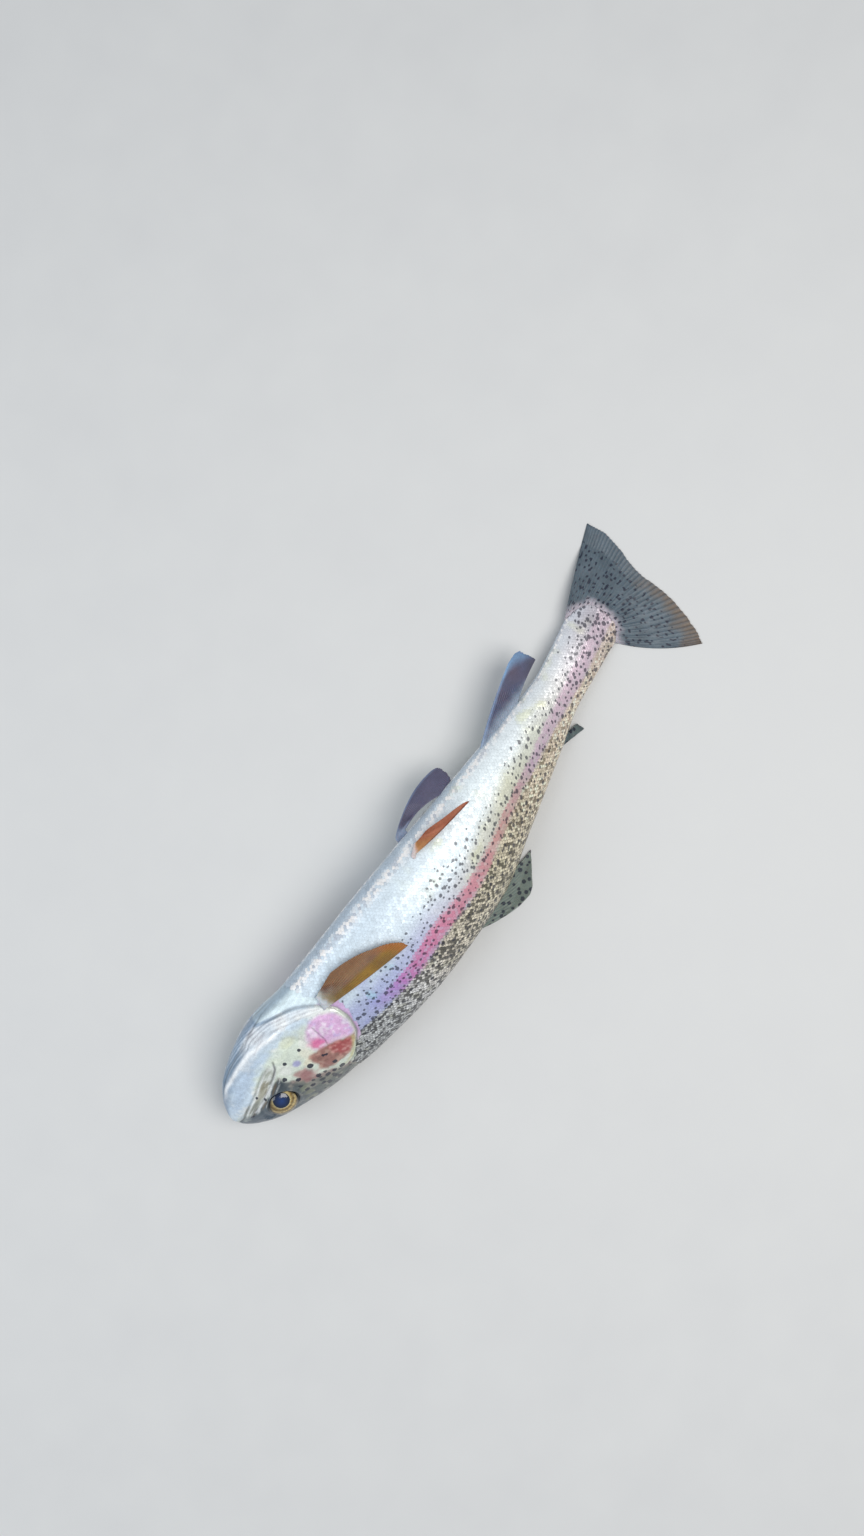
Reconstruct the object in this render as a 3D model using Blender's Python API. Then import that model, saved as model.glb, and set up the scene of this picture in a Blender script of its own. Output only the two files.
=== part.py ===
"""A rainbow trout at life size, lying at rest on its left flank with the belly rolled a little upwards.

The fish is described in its own terms: a station counted from the snout towards the tail, a height
above its long axis towards the back, and a reach to its right side. place() turns these into world
coordinates, where the fish lies on the floor at z = 0 with its snout towards -X. All sizes below are
in millimetres; the meshes are written in metres.
"""

import functools
import math

import bmesh
import bpy
import numpy as np

MM = 0.001
GAP = 0.3  # clearance between neighbouring pieces
# How many degrees the belly is turned up from lying flat on the flank: the body twists flatter to the tail
ROLL_STATIONS = (0, 180, 217, 240, 262, 280)
ROLLS = (31, 31, 26, 21, 15, 10)

# Driving dimensions of the body
BODY_END = 279.0  # where the scaled body ends and the tail fin begins
UPPER_SWEEP = 8.0  # how much earlier it ends at the upper edge
LOWER_SWEEP = 14.0
HEAD_END = 62.0  # the cut between head and trunk, under the gill covers
TRUNK_END = 194.0  # the cut at the vent
STATIONS = (0, 6, 13, 22, 45, 65, 106, 148, 182, 217, 240, 262, 280)
HALF_DEPTHS = (0, 11.6, 17.4, 21.8, 28.0, 28.6, 30.6, 28.9, 23.2, 16.4, 12.5, 12.9, 13.6)
HALF_WIDTHS = (0, 7.2, 10.6, 12.9, 16.6, 17.9, 18.6, 17.0, 12.9, 8.6, 6.3, 5.0, 1.6)
# The long axis: its shift towards the back and its height over the floor
AXIS_STATIONS = (0, 22, 45, 65, 106, 148, 182, 217, 248, 280, 316)
AXIS_SHIFTS = (-1.5, -0.4, 2.0, 5.7, 9.6, 10.8, 8.2, 4.9, 1.2, -2.5, -4.0)
AXIS_HEIGHTS = (14.6, 16.5, 19.0, 20.2, 20.8, 19.2, 15.4, 10.3, 6.8, 3.2, 1.8)
BACK_PINCH = 0.10  # how much narrower than an ellipse the section is at the back
BELLY_PINCH = 0.05
JAW_PINCH = 0.22  # the same under the lower jaw, where the section turns into a V
JAW_REACH = 45.0  # how far back that V fades out

# Head
EYE_STATION = 21.0
EYE_HEIGHT = 6.3
EYE_RADIUS = 7.2
EYE_DEPTH = 4.6  # half thickness of the flattened eyeball
EYE_PROUD = 1.7  # how far the cornea stands out of the cheek
MOUTH_LINE = ((-4, -1.2), (5, -2.2), (14, -4.8), (23, -8.4), (32, -13.0))
JAW_BACK = ((36, -17.0), (39, -24.0), (40, -36.0))  # and where it goes on down, behind the jaw
JAW_BLOCK = 40.0  # reach of the block that parts the jaw from the head
COVER_FRONT = 47.0  # the gill cover's front edge, along the cheek bone
COVER_BACKS = (56.0, 65.0, 68.0, 65.0, 57.0)  # its round rear edge, from its foot to its top
COVER_ROWS = 11
COVER_COLUMNS = 6
COVER_TOP = math.radians(34)
COVER_BOTTOM = math.radians(-56)
COVER_SHELL = 0.87  # the cover's inner face, as a share of the body's radius
COVER_BED_TOP = 1.3  # how far out its cutter reaches, as such a share
COVER_ROUND = 4.0  # how much its front edge bends back at the foot and the top
CHEEK_WIDTH = 16.0  # half width of the head there
CHEEK_DEPTH = 28.0  # half depth of the head there

# Tail fin
TAIL_FAN = (-19.5, 12.0, 63.0)  # degrees that its lower edge, middle and upper edge lean to the back
TAIL_BOW = 14  # degrees by which the upper edge turns rearwards on its way out
TAIL_LENGTHS = (45.8, 25.0, 42.2)  # of its lower edge, middle and upper edge
TAIL_SETTLED = 0.75  # the share of each ray past which the fin lies on the floor

# Fins on the back and belly: the stations where the root begins and ends, the degrees by which the first,
# middle and last rays stand off from the long axis, how many degrees each ray lays itself down on its way
# out, and the lengths of the rays
RAY_SHARES = (0.0, 0.12, 0.5, 1.0)  # where across a fin those lengths hold
MEDIAN_FINS = {
    "dorsal_fin": {
        "edge": 1,
        "root": (130.0, 162.0),
        "leans": (40, 34, 26),
        "lay_down": 11.5,
        "lengths": (23.0, 27.0, 21.0, 12.0),
    },
    "adipose_fin": {
        "edge": 1,
        "root": (220.0, 226.0),
        "leans": (25, 22, 20),
        "lay_down": 0.0,
        "lengths": (13.0, 12.4, 9.5, 6.0),
    },
    "anal_fin": {
        "edge": -1,
        "root": (197.0, 224.0),
        "leans": (19, 15, 12),
        "lay_down": 7.0,
        "lengths": (38.0, 40.0, 31.0, 17.0),
    },
}

# Paired fins: the (station, angle) of the root's two ends, the (rear, up, out) ways of the first and last
# rays, the lengths of the rays, and how far the rays curve towards the back
PAIRED_FINS = {
    "pectoral_fin_right": {
        "root": ((69.0, -32.0), (71.5, -44.0)),
        "fan": ((1.0, 0.185, 0.10), (1.0, -0.40, 0.16)),
        "lengths": (43.0, 42.5, 31.0, 11.0),
        "bow": 0.0,
    },
    "pectoral_fin_left": {
        "root": ((69.0, -28.0), (71.5, -38.0)),
        "fan": ((1.0, 0.20, 0.11), (1.0, -0.04, 0.13)),
        "lengths": (42.0, 41.5, 31.0, 14.0),
        "bow": 0.0,
    },
    "pelvic_fin_right": {
        "root": ((142.0, -59.0), (147.0, -66.0)),
        "fan": ((1.0, 0.117, 0.24), (1.0, -0.18, 0.10)),
        "lengths": (35.0, 34.0, 21.0, 8.0),
        "bow": 0.0,
    },
    "pelvic_fin_left": {
        "root": ((143.0, -66.0), (149.0, -76.0)),
        "fan": ((1.0, -0.26, 0.20), (1.0, -0.07, -0.16)),
        "lengths": (34.0, 35.0, 32.0, 24.0),
        "bow": 0.5,
    },
}
ROOT_LIFT = 1.06  # a paired fin's root lies this much further out than the skin

FIN_ROOT = 1.6  # a fin's thickness at its root
TAIL_ROOT = 3.0  # the same on the tail fin
FIN_RIM = 0.6  # every fin's thickness at its rim
FIN_THINNING = 2.5  # how fast it thins from root to rim, as a power

# Mesh fineness
FIN_STEPS = 6  # points along a ray
FIN_RAYS = 9  # rays across a fin
EYE_RINGS = 12
EYE_SIDES = 24
AROUND = 36
PER_RING = 5.2  # millimetres between rings along the body


def smooth(x, xs, ys):
    """A smooth curve through the points (xs, ys) that never overshoots them, read at x."""
    x = np.asarray(x, float)
    xs = np.asarray(xs, float)
    ys = np.asarray(ys, float)
    run = np.diff(xs)
    rise = np.diff(ys) / run
    slope = np.empty(len(xs))
    slope[0] = rise[0]
    slope[-1] = rise[-1]
    same_way = rise[:-1] * rise[1:] > 0
    before = 2 * run[1:] + run[:-1]
    after = run[1:] + 2 * run[:-1]
    safe = np.where(same_way, rise[:-1] * rise[1:], 1.0)
    mean = (before + after) * safe / (before * rise[1:] + after * rise[:-1] + (~same_way))
    slope[1:-1] = np.where(same_way, mean, 0.0)
    i = np.clip(np.searchsorted(xs, x) - 1, 0, len(run) - 1)
    t = (x - xs[i]) / run[i]
    inside = np.clip(t, 0, 1)
    value = (
        ys[i] * (1 + 2 * inside) * (1 - inside) ** 2
        + run[i] * slope[i] * inside * (1 - inside) ** 2
        + ys[i + 1] * inside**2 * (3 - 2 * inside)
        - run[i] * slope[i + 1] * inside**2 * (1 - inside)
    )
    beyond = np.where(t > 1, slope[-1], np.where(t < 0, slope[0], 0.0))
    return value + beyond * (t - inside) * run[i]


def half_depth(s):
    return smooth(np.sqrt(np.maximum(s, 0)), np.sqrt(STATIONS), HALF_DEPTHS)


def half_width(s):
    return smooth(np.sqrt(np.maximum(s, 0)), np.sqrt(STATIONS), HALF_WIDTHS)


def place(s, up, side, base=None, lay=0.0):
    """World millimetres of a point of the fish. Whatever would sink below the height lay is laid on it.

    A fin's points roll with the station base, where its ray grows out of the body.
    """
    s = np.asarray(s, float)
    roll = np.radians(smooth(s if base is None else base, ROLL_STATIONS, ROLLS))
    shift = smooth(s, AXIS_STATIONS, AXIS_SHIFTS)
    height = smooth(s, AXIS_STATIONS, AXIS_HEIGHTS)
    y = -shift - up * np.cos(roll) - side * np.sin(roll)
    z = height - up * np.sin(roll) + side * np.cos(roll)
    return np.stack(np.broadcast_arrays(s, y, np.maximum(z, lay)), axis=-1)


def surface(s, angle, radius=1.0):
    """(station, height, side) on the body's surface: angle 0 is the right flank, 90 degrees the back."""
    s = np.asarray(s, float)
    sine = np.sin(angle)
    jaw = np.clip(1 - s / JAW_REACH, 0, 1) * JAW_PINCH
    pinch = np.where(sine > 0, BACK_PINCH * sine**2, (BELLY_PINCH + jaw) * sine**2)
    up = radius * half_depth(s) * sine
    side = radius * half_width(s) * np.cos(angle) * (1 - pinch)
    return s, up, side


def body_end(angle):
    sine = np.sin(angle)
    return BODY_END - np.where(sine > 0, UPPER_SWEEP, LOWER_SWEEP) * np.abs(sine) ** 3


def material(name, colour, roughness, metallic=0.0):
    made = bpy.data.materials.new(name)
    made.use_nodes = True
    shader = made.node_tree.nodes["Principled BSDF"]
    shader.inputs["Base Color"].default_value = (*colour, 1.0)
    shader.inputs["Roughness"].default_value = roughness
    shader.inputs["Metallic"].default_value = metallic
    made.diffuse_color = (*colour, 1.0)
    return made


def add_object(name, points, faces, finish, smooth_angle=40):
    """A mesh object from world points in millimetres, faces turned outwards."""
    mesh = bpy.data.meshes.new(name)
    mesh.from_pydata((np.asarray(points) * MM).tolist(), [], faces)
    shape = bmesh.new()
    shape.from_mesh(mesh)
    bmesh.ops.recalc_face_normals(shape, faces=shape.faces)
    shape.to_mesh(mesh)
    shape.free()
    mesh.shade_smooth()
    mesh.set_sharp_from_angle(angle=math.radians(smooth_angle))
    obj = bpy.data.objects.new(name, mesh)
    bpy.context.scene.collection.objects.link(obj)
    if finish:
        mesh.materials.append(finish)
    return obj


def grid_faces(rows, columns, wrap=False, offset=0):
    """The quads of a grid of points, and of the strip that closes it where it wraps round."""
    faces = []
    for i in range(rows - 1):
        for j in range(columns if wrap else columns - 1):
            k = (j + 1) % columns
            faces.append(
                (
                    offset + i * columns + j,
                    offset + (i + 1) * columns + j,
                    offset + (i + 1) * columns + k,
                    offset + i * columns + k,
                )
            )
    return faces


def end_cap(first):
    """Strips from flank to flank that close the ring of points starting at the index first."""
    quarter = AROUND // 4
    faces = []
    for j in range(-quarter, quarter):
        corners = (j, j + 1, 2 * quarter - j - 1, 2 * quarter - j)
        strip = dict.fromkeys(first + corner % AROUND for corner in corners)
        faces.append(tuple(strip))
    return faces


def loft(name, start, end, finish):
    """A closed length of the body between two stations. From station 0 it begins in the snout's tip."""
    count = max(3, round((end - start) / PER_RING))
    if start == 0:
        stations = np.linspace(0.35, math.sqrt(end), count + 6) ** 2
    else:
        stations = np.linspace(start, end, count)
    angles = np.arange(AROUND) * 2 * math.pi / AROUND
    s, angle = np.meshgrid(stations, angles, indexing="ij")
    if end >= BODY_END:
        share = (s - start) / (end - start)
        s = start + share * (body_end(angle) - start)
    points = place(*surface(s, angle)).reshape(-1, 3)
    rings = len(stations)
    faces = grid_faces(rings, AROUND, wrap=True)
    faces += end_cap((rings - 1) * AROUND)
    if start == 0:
        points = np.vstack([points, place(0.0, 0.0, 0.0)])
        faces += [(j, (j + 1) % AROUND, len(points) - 1) for j in range(AROUND)]
    else:
        faces += end_cap(0)
    return add_object(name, points, faces, finish)


def sheet(name, front, back, finish, smooth_angle=40):
    """A closed plate between two grids of points that face each other."""
    rows, columns, _ = front.shape
    points = np.vstack([front.reshape(-1, 3), back.reshape(-1, 3)])
    faces = grid_faces(rows, columns)
    half = rows * columns
    faces += [tuple(half + i for i in reversed(face)) for face in grid_faces(rows, columns)]
    rim = list(range(columns))
    rim += [i * columns + columns - 1 for i in range(1, rows)]
    rim += [(rows - 1) * columns + j for j in reversed(range(columns - 1))]
    rim += [i * columns for i in reversed(range(1, rows - 1))]
    for a, b in zip(rim, rim[1:] + rim[:1]):
        faces.append((a, b, half + b, half + a))
    return add_object(name, points, faces, finish, smooth_angle)


def cut(obj, cutter, operation="DIFFERENCE"):
    modifier = obj.modifiers.new("cut_" + cutter.name, "BOOLEAN")
    modifier.operation = operation
    modifier.object = cutter
    cutter.hide_render = True
    cutter.display_type = "WIRE"


# Gill covers ---------------------------------------------------------------------------------------


def cover_grid(mirror, radius, grow):
    """The gill cover's outline, filled: a plate on the cheek whose rear edge is a broad round arc."""
    across, along = np.meshgrid(
        np.linspace(0, 1, COVER_ROWS), np.linspace(0, 1, COVER_COLUMNS), indexing="ij"
    )
    edge = grow / CHEEK_DEPTH
    angle = COVER_BOTTOM - edge + across * (COVER_TOP - COVER_BOTTOM + 2 * edge)
    front = COVER_FRONT - grow + COVER_ROUND * (1 - np.sin(math.pi * across))
    back = smooth(across, np.linspace(0, 1, len(COVER_BACKS)), COVER_BACKS) + grow
    s = front + along * (back - front)
    angle = math.pi - angle if mirror else angle
    return place(*surface(s, angle, radius))


def add_gill_cover(name, mirror, finish, blocks):
    sheet(name, cover_grid(mirror, 1.0, 0.0), cover_grid(mirror, COVER_SHELL, 0.0), finish)
    outer = cover_grid(mirror, COVER_BED_TOP, GAP)
    inner = cover_grid(mirror, COVER_SHELL - GAP / CHEEK_WIDTH, GAP)
    bed = sheet("bed_" + name, outer, inner, None)
    for block in blocks:
        cut(block, bed)


# Eyes ----------------------------------------------------------------------------------------------


def eye_shape(name, mirror, grow, finish):
    """A flattened ball whose flat axis points out of the cheek."""
    turn = -1 if mirror else 1
    _, _, cheek = surface(EYE_STATION, math.asin(EYE_HEIGHT / float(half_depth(EYE_STATION))))
    middle = turn * (float(cheek) + EYE_PROUD - EYE_DEPTH)
    tilt, turned = np.meshgrid(
        np.linspace(0, math.pi, EYE_RINGS + 1)[1:-1],
        np.arange(EYE_SIDES) * 2 * math.pi / EYE_SIDES,
        indexing="ij",
    )
    wide = EYE_RADIUS + grow
    deep = EYE_DEPTH + grow
    along = EYE_STATION + wide * np.sin(tilt) * np.cos(turned)
    up = EYE_HEIGHT + wide * np.sin(tilt) * np.sin(turned)
    side = middle + deep * np.cos(tilt)
    points = place(along, up, side).reshape(-1, 3)
    poles = place(EYE_STATION, EYE_HEIGHT, np.array([middle + deep, middle - deep]))
    faces = grid_faces(EYE_RINGS - 1, EYE_SIDES, wrap=True)
    outer = len(points)
    last = outer - EYE_SIDES
    for j in range(EYE_SIDES):
        k = (j + 1) % EYE_SIDES
        faces.append((j, k, outer))
        faces.append((last + k, last + j, outer + 1))
    return add_object(name, np.vstack([points, poles]), faces, finish)


# Lower jaw -----------------------------------------------------------------------------------------


def jaw_block(name, grow):
    """All that lies below the mouth and in front of the throat, as one thick block."""
    upper = [(s, up + grow) for s, up in MOUTH_LINE]
    rear = [(s + grow, up) for s, up in JAW_BACK]
    bottom = [(s, -JAW_BLOCK) for s in (26.0, 12.0, -4.0)]
    s, up = np.array(upper + rear + bottom).T
    points = np.vstack([place(s, up, side, lay=-JAW_BLOCK) for side in (-JAW_BLOCK, JAW_BLOCK)])
    count = len(s)
    faces = [tuple(range(count)), tuple(reversed(range(count, 2 * count)))]
    for i in range(count):
        k = (i + 1) % count
        faces.append((i, k, count + k, count + i))
    return add_object(name, points, faces, None)


# Fins ----------------------------------------------------------------------------------------------


def fin_sheet(name, ray, rays, finish, root=FIN_ROOT, edge_root=None, settled=None):
    """A plate along the rays of a fin, thick at its root and thin at its rim.

    ray(r, t) gives (station, height, side, base) at the share r across the fin and t along the ray.
    Where edge_root is given, the root thins towards it at the fin's two edges.
    Where settled is given, the rays sag until they lie on the floor from that share of their length.
    """
    r, t = np.meshgrid(np.linspace(0, 1, rays), np.linspace(0, 1, FIN_STEPS), indexing="ij")
    if edge_root is not None:
        root = edge_root + (root - edge_root) * np.sin(math.pi * r)
    half = 0.5 * (FIN_RIM + (root - FIN_RIM) * (1 - t) ** FIN_THINNING)
    middle = place(*ray(r, t), lay=-99.0)
    normal = np.cross(np.gradient(middle, axis=0), np.gradient(middle, axis=1))
    normal /= np.linalg.norm(normal, axis=-1, keepdims=True)
    if normal[..., 2].mean() < 0:
        normal = -normal
    lifted = np.maximum(middle[..., 2], half) - half
    if settled is not None:
        lifted *= 1 - np.minimum(t / settled, 1) ** 2
    middle[..., 2] = half + lifted
    normal = np.where((middle[..., 2] <= half + 0.01)[..., None], (0.0, 0.0, 1.0), normal)
    upper = middle + normal * half[..., None]
    lower = middle - normal * half[..., None]
    lower[..., 2] = np.maximum(lower[..., 2], 0.0)
    return sheet(name, upper, lower, finish, smooth_angle=60)


def caudal_ray(r, t):
    """The spread tail fin: 0 is its upper edge, 1 its lower edge."""
    angle = math.pi / 2 * (1 - 2 * r)
    across = np.sin(angle)
    root, up, _ = surface(body_end(angle), angle)
    bow = TAIL_BOW * np.maximum(across, 0) * (0.5 - t)
    lean = np.radians(smooth(across, (-1, 0, 1), TAIL_FAN) + bow)
    lower, middle, upper = TAIL_LENGTHS
    length = middle + (np.where(across > 0, upper, lower) - middle) * across**2
    s = root + GAP + t * length * np.cos(lean)
    return s, up + t * length * np.sin(lean), 0.0 * s, root


def median_ray(r, t, fin):
    """The dorsal, adipose or anal fin, whose rays stand on the edge of the back or the belly."""
    first, last = fin["root"]
    base = first + (last - first) * r
    lean = np.radians(smooth(r, (0, 0.5, 1), fin["leans"]) - fin["lay_down"] * t)
    reach = smooth(r, RAY_SHARES, fin["lengths"]) * t
    s = base + reach * np.cos(lean)
    up = half_depth(base) + GAP + reach * np.sin(lean)
    return s, fin["edge"] * up, 0.0 * s, base


def paired_ray(r, t, fin, mirror):
    """A pectoral or pelvic fin, whose rays lean from the body's long axis by its fan."""
    (front_s, front_angle), (rear_s, rear_angle) = fin["root"]
    station = front_s + (rear_s - front_s) * r
    angle = np.radians(front_angle + (rear_angle - front_angle) * r)
    s, up, side = surface(station, math.pi - angle if mirror else angle, ROOT_LIFT)
    first, last = (np.array(way) / np.linalg.norm(way) for way in fin["fan"])
    way = first + (last - first) * r[..., None]
    way[..., 1] += fin["bow"] * (t - 0.5)
    way /= np.linalg.norm(way, axis=-1, keepdims=True)
    reach = smooth(r, RAY_SHARES, fin["lengths"])[..., None] * t[..., None] * way
    outwards = -1 if mirror else 1
    return s + reach[..., 0], up + reach[..., 1], side + outwards * reach[..., 2], station


# Assembly ------------------------------------------------------------------------------------------


def main():
    for obj in list(bpy.data.objects):
        bpy.data.objects.remove(obj)

    pale = material("cheek", (0.72, 0.74, 0.66), 0.3)
    jaw_blue = material("jaw", (0.62, 0.70, 0.78), 0.3)
    pink = material("gill_cover", (0.80, 0.42, 0.50), 0.28)
    silver = material("flank", (0.74, 0.73, 0.70), 0.3, 0.2)
    tail_silver = material("tail", (0.70, 0.68, 0.66), 0.32, 0.2)
    amber = material("pectoral", (0.55, 0.33, 0.12), 0.4)
    orange = material("pelvic", (0.72, 0.34, 0.22), 0.4)
    mauve = material("anal", (0.42, 0.38, 0.50), 0.4)
    slate = material("spotted_fins", (0.30, 0.36, 0.40), 0.4)
    iris = material("eye", (0.10, 0.12, 0.20), 0.08)

    head = loft("head", 0.0, HEAD_END, pale)
    trunk = loft("trunk", HEAD_END + GAP, TRUNK_END, silver)
    loft("tail_stalk", TRUNK_END + GAP, BODY_END, tail_silver)

    add_gill_cover("gill_cover_right", False, pink, (head, trunk))
    add_gill_cover("gill_cover_left", True, pink, (head, trunk))

    jaw = loft("lower_jaw", 0.0, HEAD_END, jaw_blue)
    cut(jaw, jaw_block("jaw_cutter", 0.0), "INTERSECT")
    cut(head, jaw_block("jaw_bed", GAP))

    for name, mirror in (("right", False), ("left", True)):
        eye_shape("eye_" + name, mirror, 0.0, iris)
        cut(head, eye_shape("socket_" + name, mirror, GAP, None))

    fin_sheet("caudal_fin", caudal_ray, AROUND // 2 + 1, slate, TAIL_ROOT, FIN_RIM, TAIL_SETTLED)
    finishes = {"dorsal": slate, "adipose": slate, "anal": mauve, "pectoral": amber, "pelvic": orange}
    for name, fin in MEDIAN_FINS.items():
        ray = functools.partial(median_ray, fin=fin)
        fin_sheet(name, ray, FIN_RAYS, finishes[name.split("_")[0]])
    for name, fin in PAIRED_FINS.items():
        ray = functools.partial(paired_ray, fin=fin, mirror=name.endswith("left"))
        fin_sheet(name, ray, FIN_RAYS, finishes[name.split("_")[0]])

    bpy.context.view_layer.update()
    corners = []
    for obj in bpy.data.objects:
        if not obj.hide_render:
            corners += [np.array(obj.matrix_world @ vertex.co) for vertex in obj.data.vertices]
    low, high = np.min(corners, axis=0), np.max(corners, axis=0)
    middle = (low + high) / 2
    for obj in bpy.data.objects:
        for vertex in obj.data.vertices:
            vertex.co.x -= middle[0]
            vertex.co.y -= middle[1]


main()
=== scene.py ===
"""The looks of a life-size rainbow trout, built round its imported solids.

The fish is described as in its solids: a station counted from the snout towards the tail, a height
above its long axis towards the back, and a reach to its right side, all in millimetres. A spot on the
skin is a station and a latitude: 0 is the middle of either flank, 90 degrees the back, -90 the belly.
"""

import math
from functools import partial

import bpy
import numpy as np
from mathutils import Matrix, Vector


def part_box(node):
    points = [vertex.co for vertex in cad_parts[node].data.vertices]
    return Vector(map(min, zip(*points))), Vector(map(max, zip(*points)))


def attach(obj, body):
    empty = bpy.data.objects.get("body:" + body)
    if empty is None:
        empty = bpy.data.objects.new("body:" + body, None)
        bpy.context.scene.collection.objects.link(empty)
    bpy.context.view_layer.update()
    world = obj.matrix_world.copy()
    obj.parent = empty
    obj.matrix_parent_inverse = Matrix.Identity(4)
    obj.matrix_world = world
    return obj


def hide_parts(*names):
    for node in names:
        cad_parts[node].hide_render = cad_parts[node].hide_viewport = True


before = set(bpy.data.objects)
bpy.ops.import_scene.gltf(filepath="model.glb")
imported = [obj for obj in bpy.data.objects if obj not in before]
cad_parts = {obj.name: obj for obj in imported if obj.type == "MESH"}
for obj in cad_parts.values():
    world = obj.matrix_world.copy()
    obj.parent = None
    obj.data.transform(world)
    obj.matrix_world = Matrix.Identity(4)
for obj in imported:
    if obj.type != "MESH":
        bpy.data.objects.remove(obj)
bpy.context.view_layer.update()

MM = 0.001
TURN = 2 * math.pi

# The body, as in its solids
BODY_END = 279.0
UPPER_SWEEP = 8.0
LOWER_SWEEP = 14.0
TRUNK = (62.3, 194.0)  # the stations that the trunk's solid reaches between
ROLL_STATIONS = (0, 180, 217, 240, 262, 280)
ROLLS = (31, 31, 26, 21, 15, 10)
STATIONS = (0, 6, 13, 22, 45, 65, 106, 148, 182, 217, 240, 262, 280)
HALF_DEPTHS = (0, 11.6, 17.4, 21.8, 28.0, 28.6, 30.6, 28.9, 23.2, 16.4, 12.5, 12.9, 13.6)
HALF_WIDTHS = (0, 7.2, 10.6, 12.9, 16.6, 17.9, 18.6, 17.0, 12.9, 8.6, 6.3, 5.0, 1.6)
AXIS_STATIONS = (0, 22, 45, 65, 106, 148, 182, 217, 248, 280, 316)
AXIS_SHIFTS = (-1.5, -0.4, 2.0, 5.7, 9.6, 10.8, 8.2, 4.9, 1.2, -2.5, -4.0)
AXIS_HEIGHTS = (14.6, 16.5, 19.0, 20.2, 20.8, 19.2, 15.4, 10.3, 6.8, 3.2, 1.8)
BACK_PINCH = 0.10
BELLY_PINCH = 0.05
JAW_PINCH = 0.22
JAW_REACH = 45.0

# The fins' outlines, near those of their solids. Lengths go with the shares of the way along the root.
GAP = 0.3
TAIL_FAN = (-19.5, 12.0, 63.0)
TAIL_BOW = 14
TAIL_LENGTHS = (45.8, 25.0, 42.2)
TAIL_SETTLED = 0.75  # from this share of its rays on the tail fin lies on the floor
RAY_SHARES = (0.0, 0.12, 0.5, 1.0)
# The edge of the body a fin stands on, its root's stations, its rays' leans and how they lie down
MEDIAN_FINS = {
    "dorsal_fin": (1, (130, 162), (40, 34, 26), 11.5, (23, 27, 21, 12)),
    "adipose_fin": (1, (220, 226), (25, 22, 20), 0, (13, 12.4, 9.5, 6)),
    "anal_fin": (-1, (197, 224), (19.5, 16, 12), 6, (38, 40, 32, 19)),
}
# The ends of a fin's root as (station, latitude), the ways of its first and last ray, and its bow
PAIRED_FINS = {
    "pectoral_fin_right": (
        ((69.3, -32), (71, -46)), ((1, 0.185, 0.10), (1, -0.34, 0.16)), 0, (43.5, 42.5, 31, 13)
    ),
    "pectoral_fin_left": (
        ((69, -28), (71.5, -38)), ((1, 0.20, 0.11), (1, -0.04, 0.13)), 0, (42, 41.5, 31, 14)
    ),
    "pelvic_fin_right": (
        ((142, -59), (147, -66)), ((1, 0.125, 0.24), (1, -0.02, 0.17)), 0, (35, 33, 19, 7)
    ),
    "pelvic_fin_left": (
        ((143, -66), (149, -76)), ((1, -0.23, 0.20), (1, 0.08, -0.12)), 0.5, (34.5, 36, 34, 27)
    ),
}
ROOT_LIFT = 1.06
FIN_ROOT = 1.6  # how thick a fin is at its root, at the tail's root and at its margin
TAIL_ROOT = 3.0
FIN_RIM = 0.6
FIN_THINNING = 2.5
FIN_SINK = 0.06  # how far a fin reaches into the body, as a share of its length
FIN_LINES = 38  # points along a ray
PER_RAY = 10  # points across a ray

# The eyes, near their place in the solids
EYE_STATION = 21.7
EYE_HEIGHT = 6.0
EYE_RADIUS = 7.2
EYE_DEPTH = 4.6
EYE_PROUD = 1.7
EYE_INSET = 0.05
PUPIL_DROP = 2.7  # how far the pupil lies below the middle of the eyeball, and behind it
PUPIL_BACK = 0.9
PUPIL_RADIUS = 3.7
LID_INNER = 6.6
LID_OUTER = 8.5
EYE_STEPS = 40
EYE_SIDES = 96
LID_STEPS = 12

# The skin
AROUND = 320  # points round each ring
SPACING = ((0, 0.3), (8, 0.42), (36, 0.45), (60, 0.5), (79, 0.6), (92, 1.7), (279, 2.3))
FIRST_RING = 0.08
HEAD_INSET = 0.55  # how far the bare skin lies inside the solids
SCALED_INSET = 0.46  # the same under the scales
TAIL_BLEND = 240.0  # from here on the rings bend to follow the tail's round root

# Lines on the head, as (station, latitude)
MOUTH_SLIT = ((0, 2), (4, -3), (8, -14), (14, -19.5), (18, -22), (24, -27.5), (31, -32))
MAXILLA_TOP = ((0, 20), (4.5, 10), (8, 2), (12.5, -6), (17, -8), (22, -12), (28, -17), (34.5, -25))
JAW_RIDGE = ((3, -66), (8, -71), (12, -70), (17, -63.5), (22, -61), (31, -57), (39, -52), (46, -48))
JAW_GROOVE = ((10, -84), (20, -80), (33, -74), (43, -78), (50, -84), (60, -90))
COVER_FOOT = ((34, -46), (40, -50), (46, -50), (52, -46), (60, -40), (68, -30))
# Lines across the head, as (latitude, station)
GILL_OPENING = (
    (-90, 44), (-78, 44), (-68, 49), (-63, 53.5), (-59, 58), (-54, 61.5), (-47, 64.6), (-36, 68.4),
    (-23, 71.2), (-14, 71), (-2, 69), (5, 67.2), (12, 63.8), (21, 60), (28, 56), (34, 51.5), (50, 46),
)
CHEEK_EDGE = ((-46, 43), (-32, 50), (-20, 51.8), (-12, 51.2), (-5, 48.4), (3, 47.4), (21, 46.8), (30, 44))
SMALL_SUTURE = ((-29, 58.6), (-20, 58), (-12, 57.4), (-6, 56))
SCALES_BEGIN = (
    (-90, 66), (-60, 68), (-45, 72), (-38, 75), (-24, 75), (-16, 74), (-6, 72), (4, 70),
    (12, 66.8), (19, 61.6), (28, 58), (39, 54.5), (65, 53), (90, 52),
)
NOSTRILS = ((11.0, 29.0, 0.75), (12.7, 31.0, 0.85))  # station, latitude, size

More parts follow.
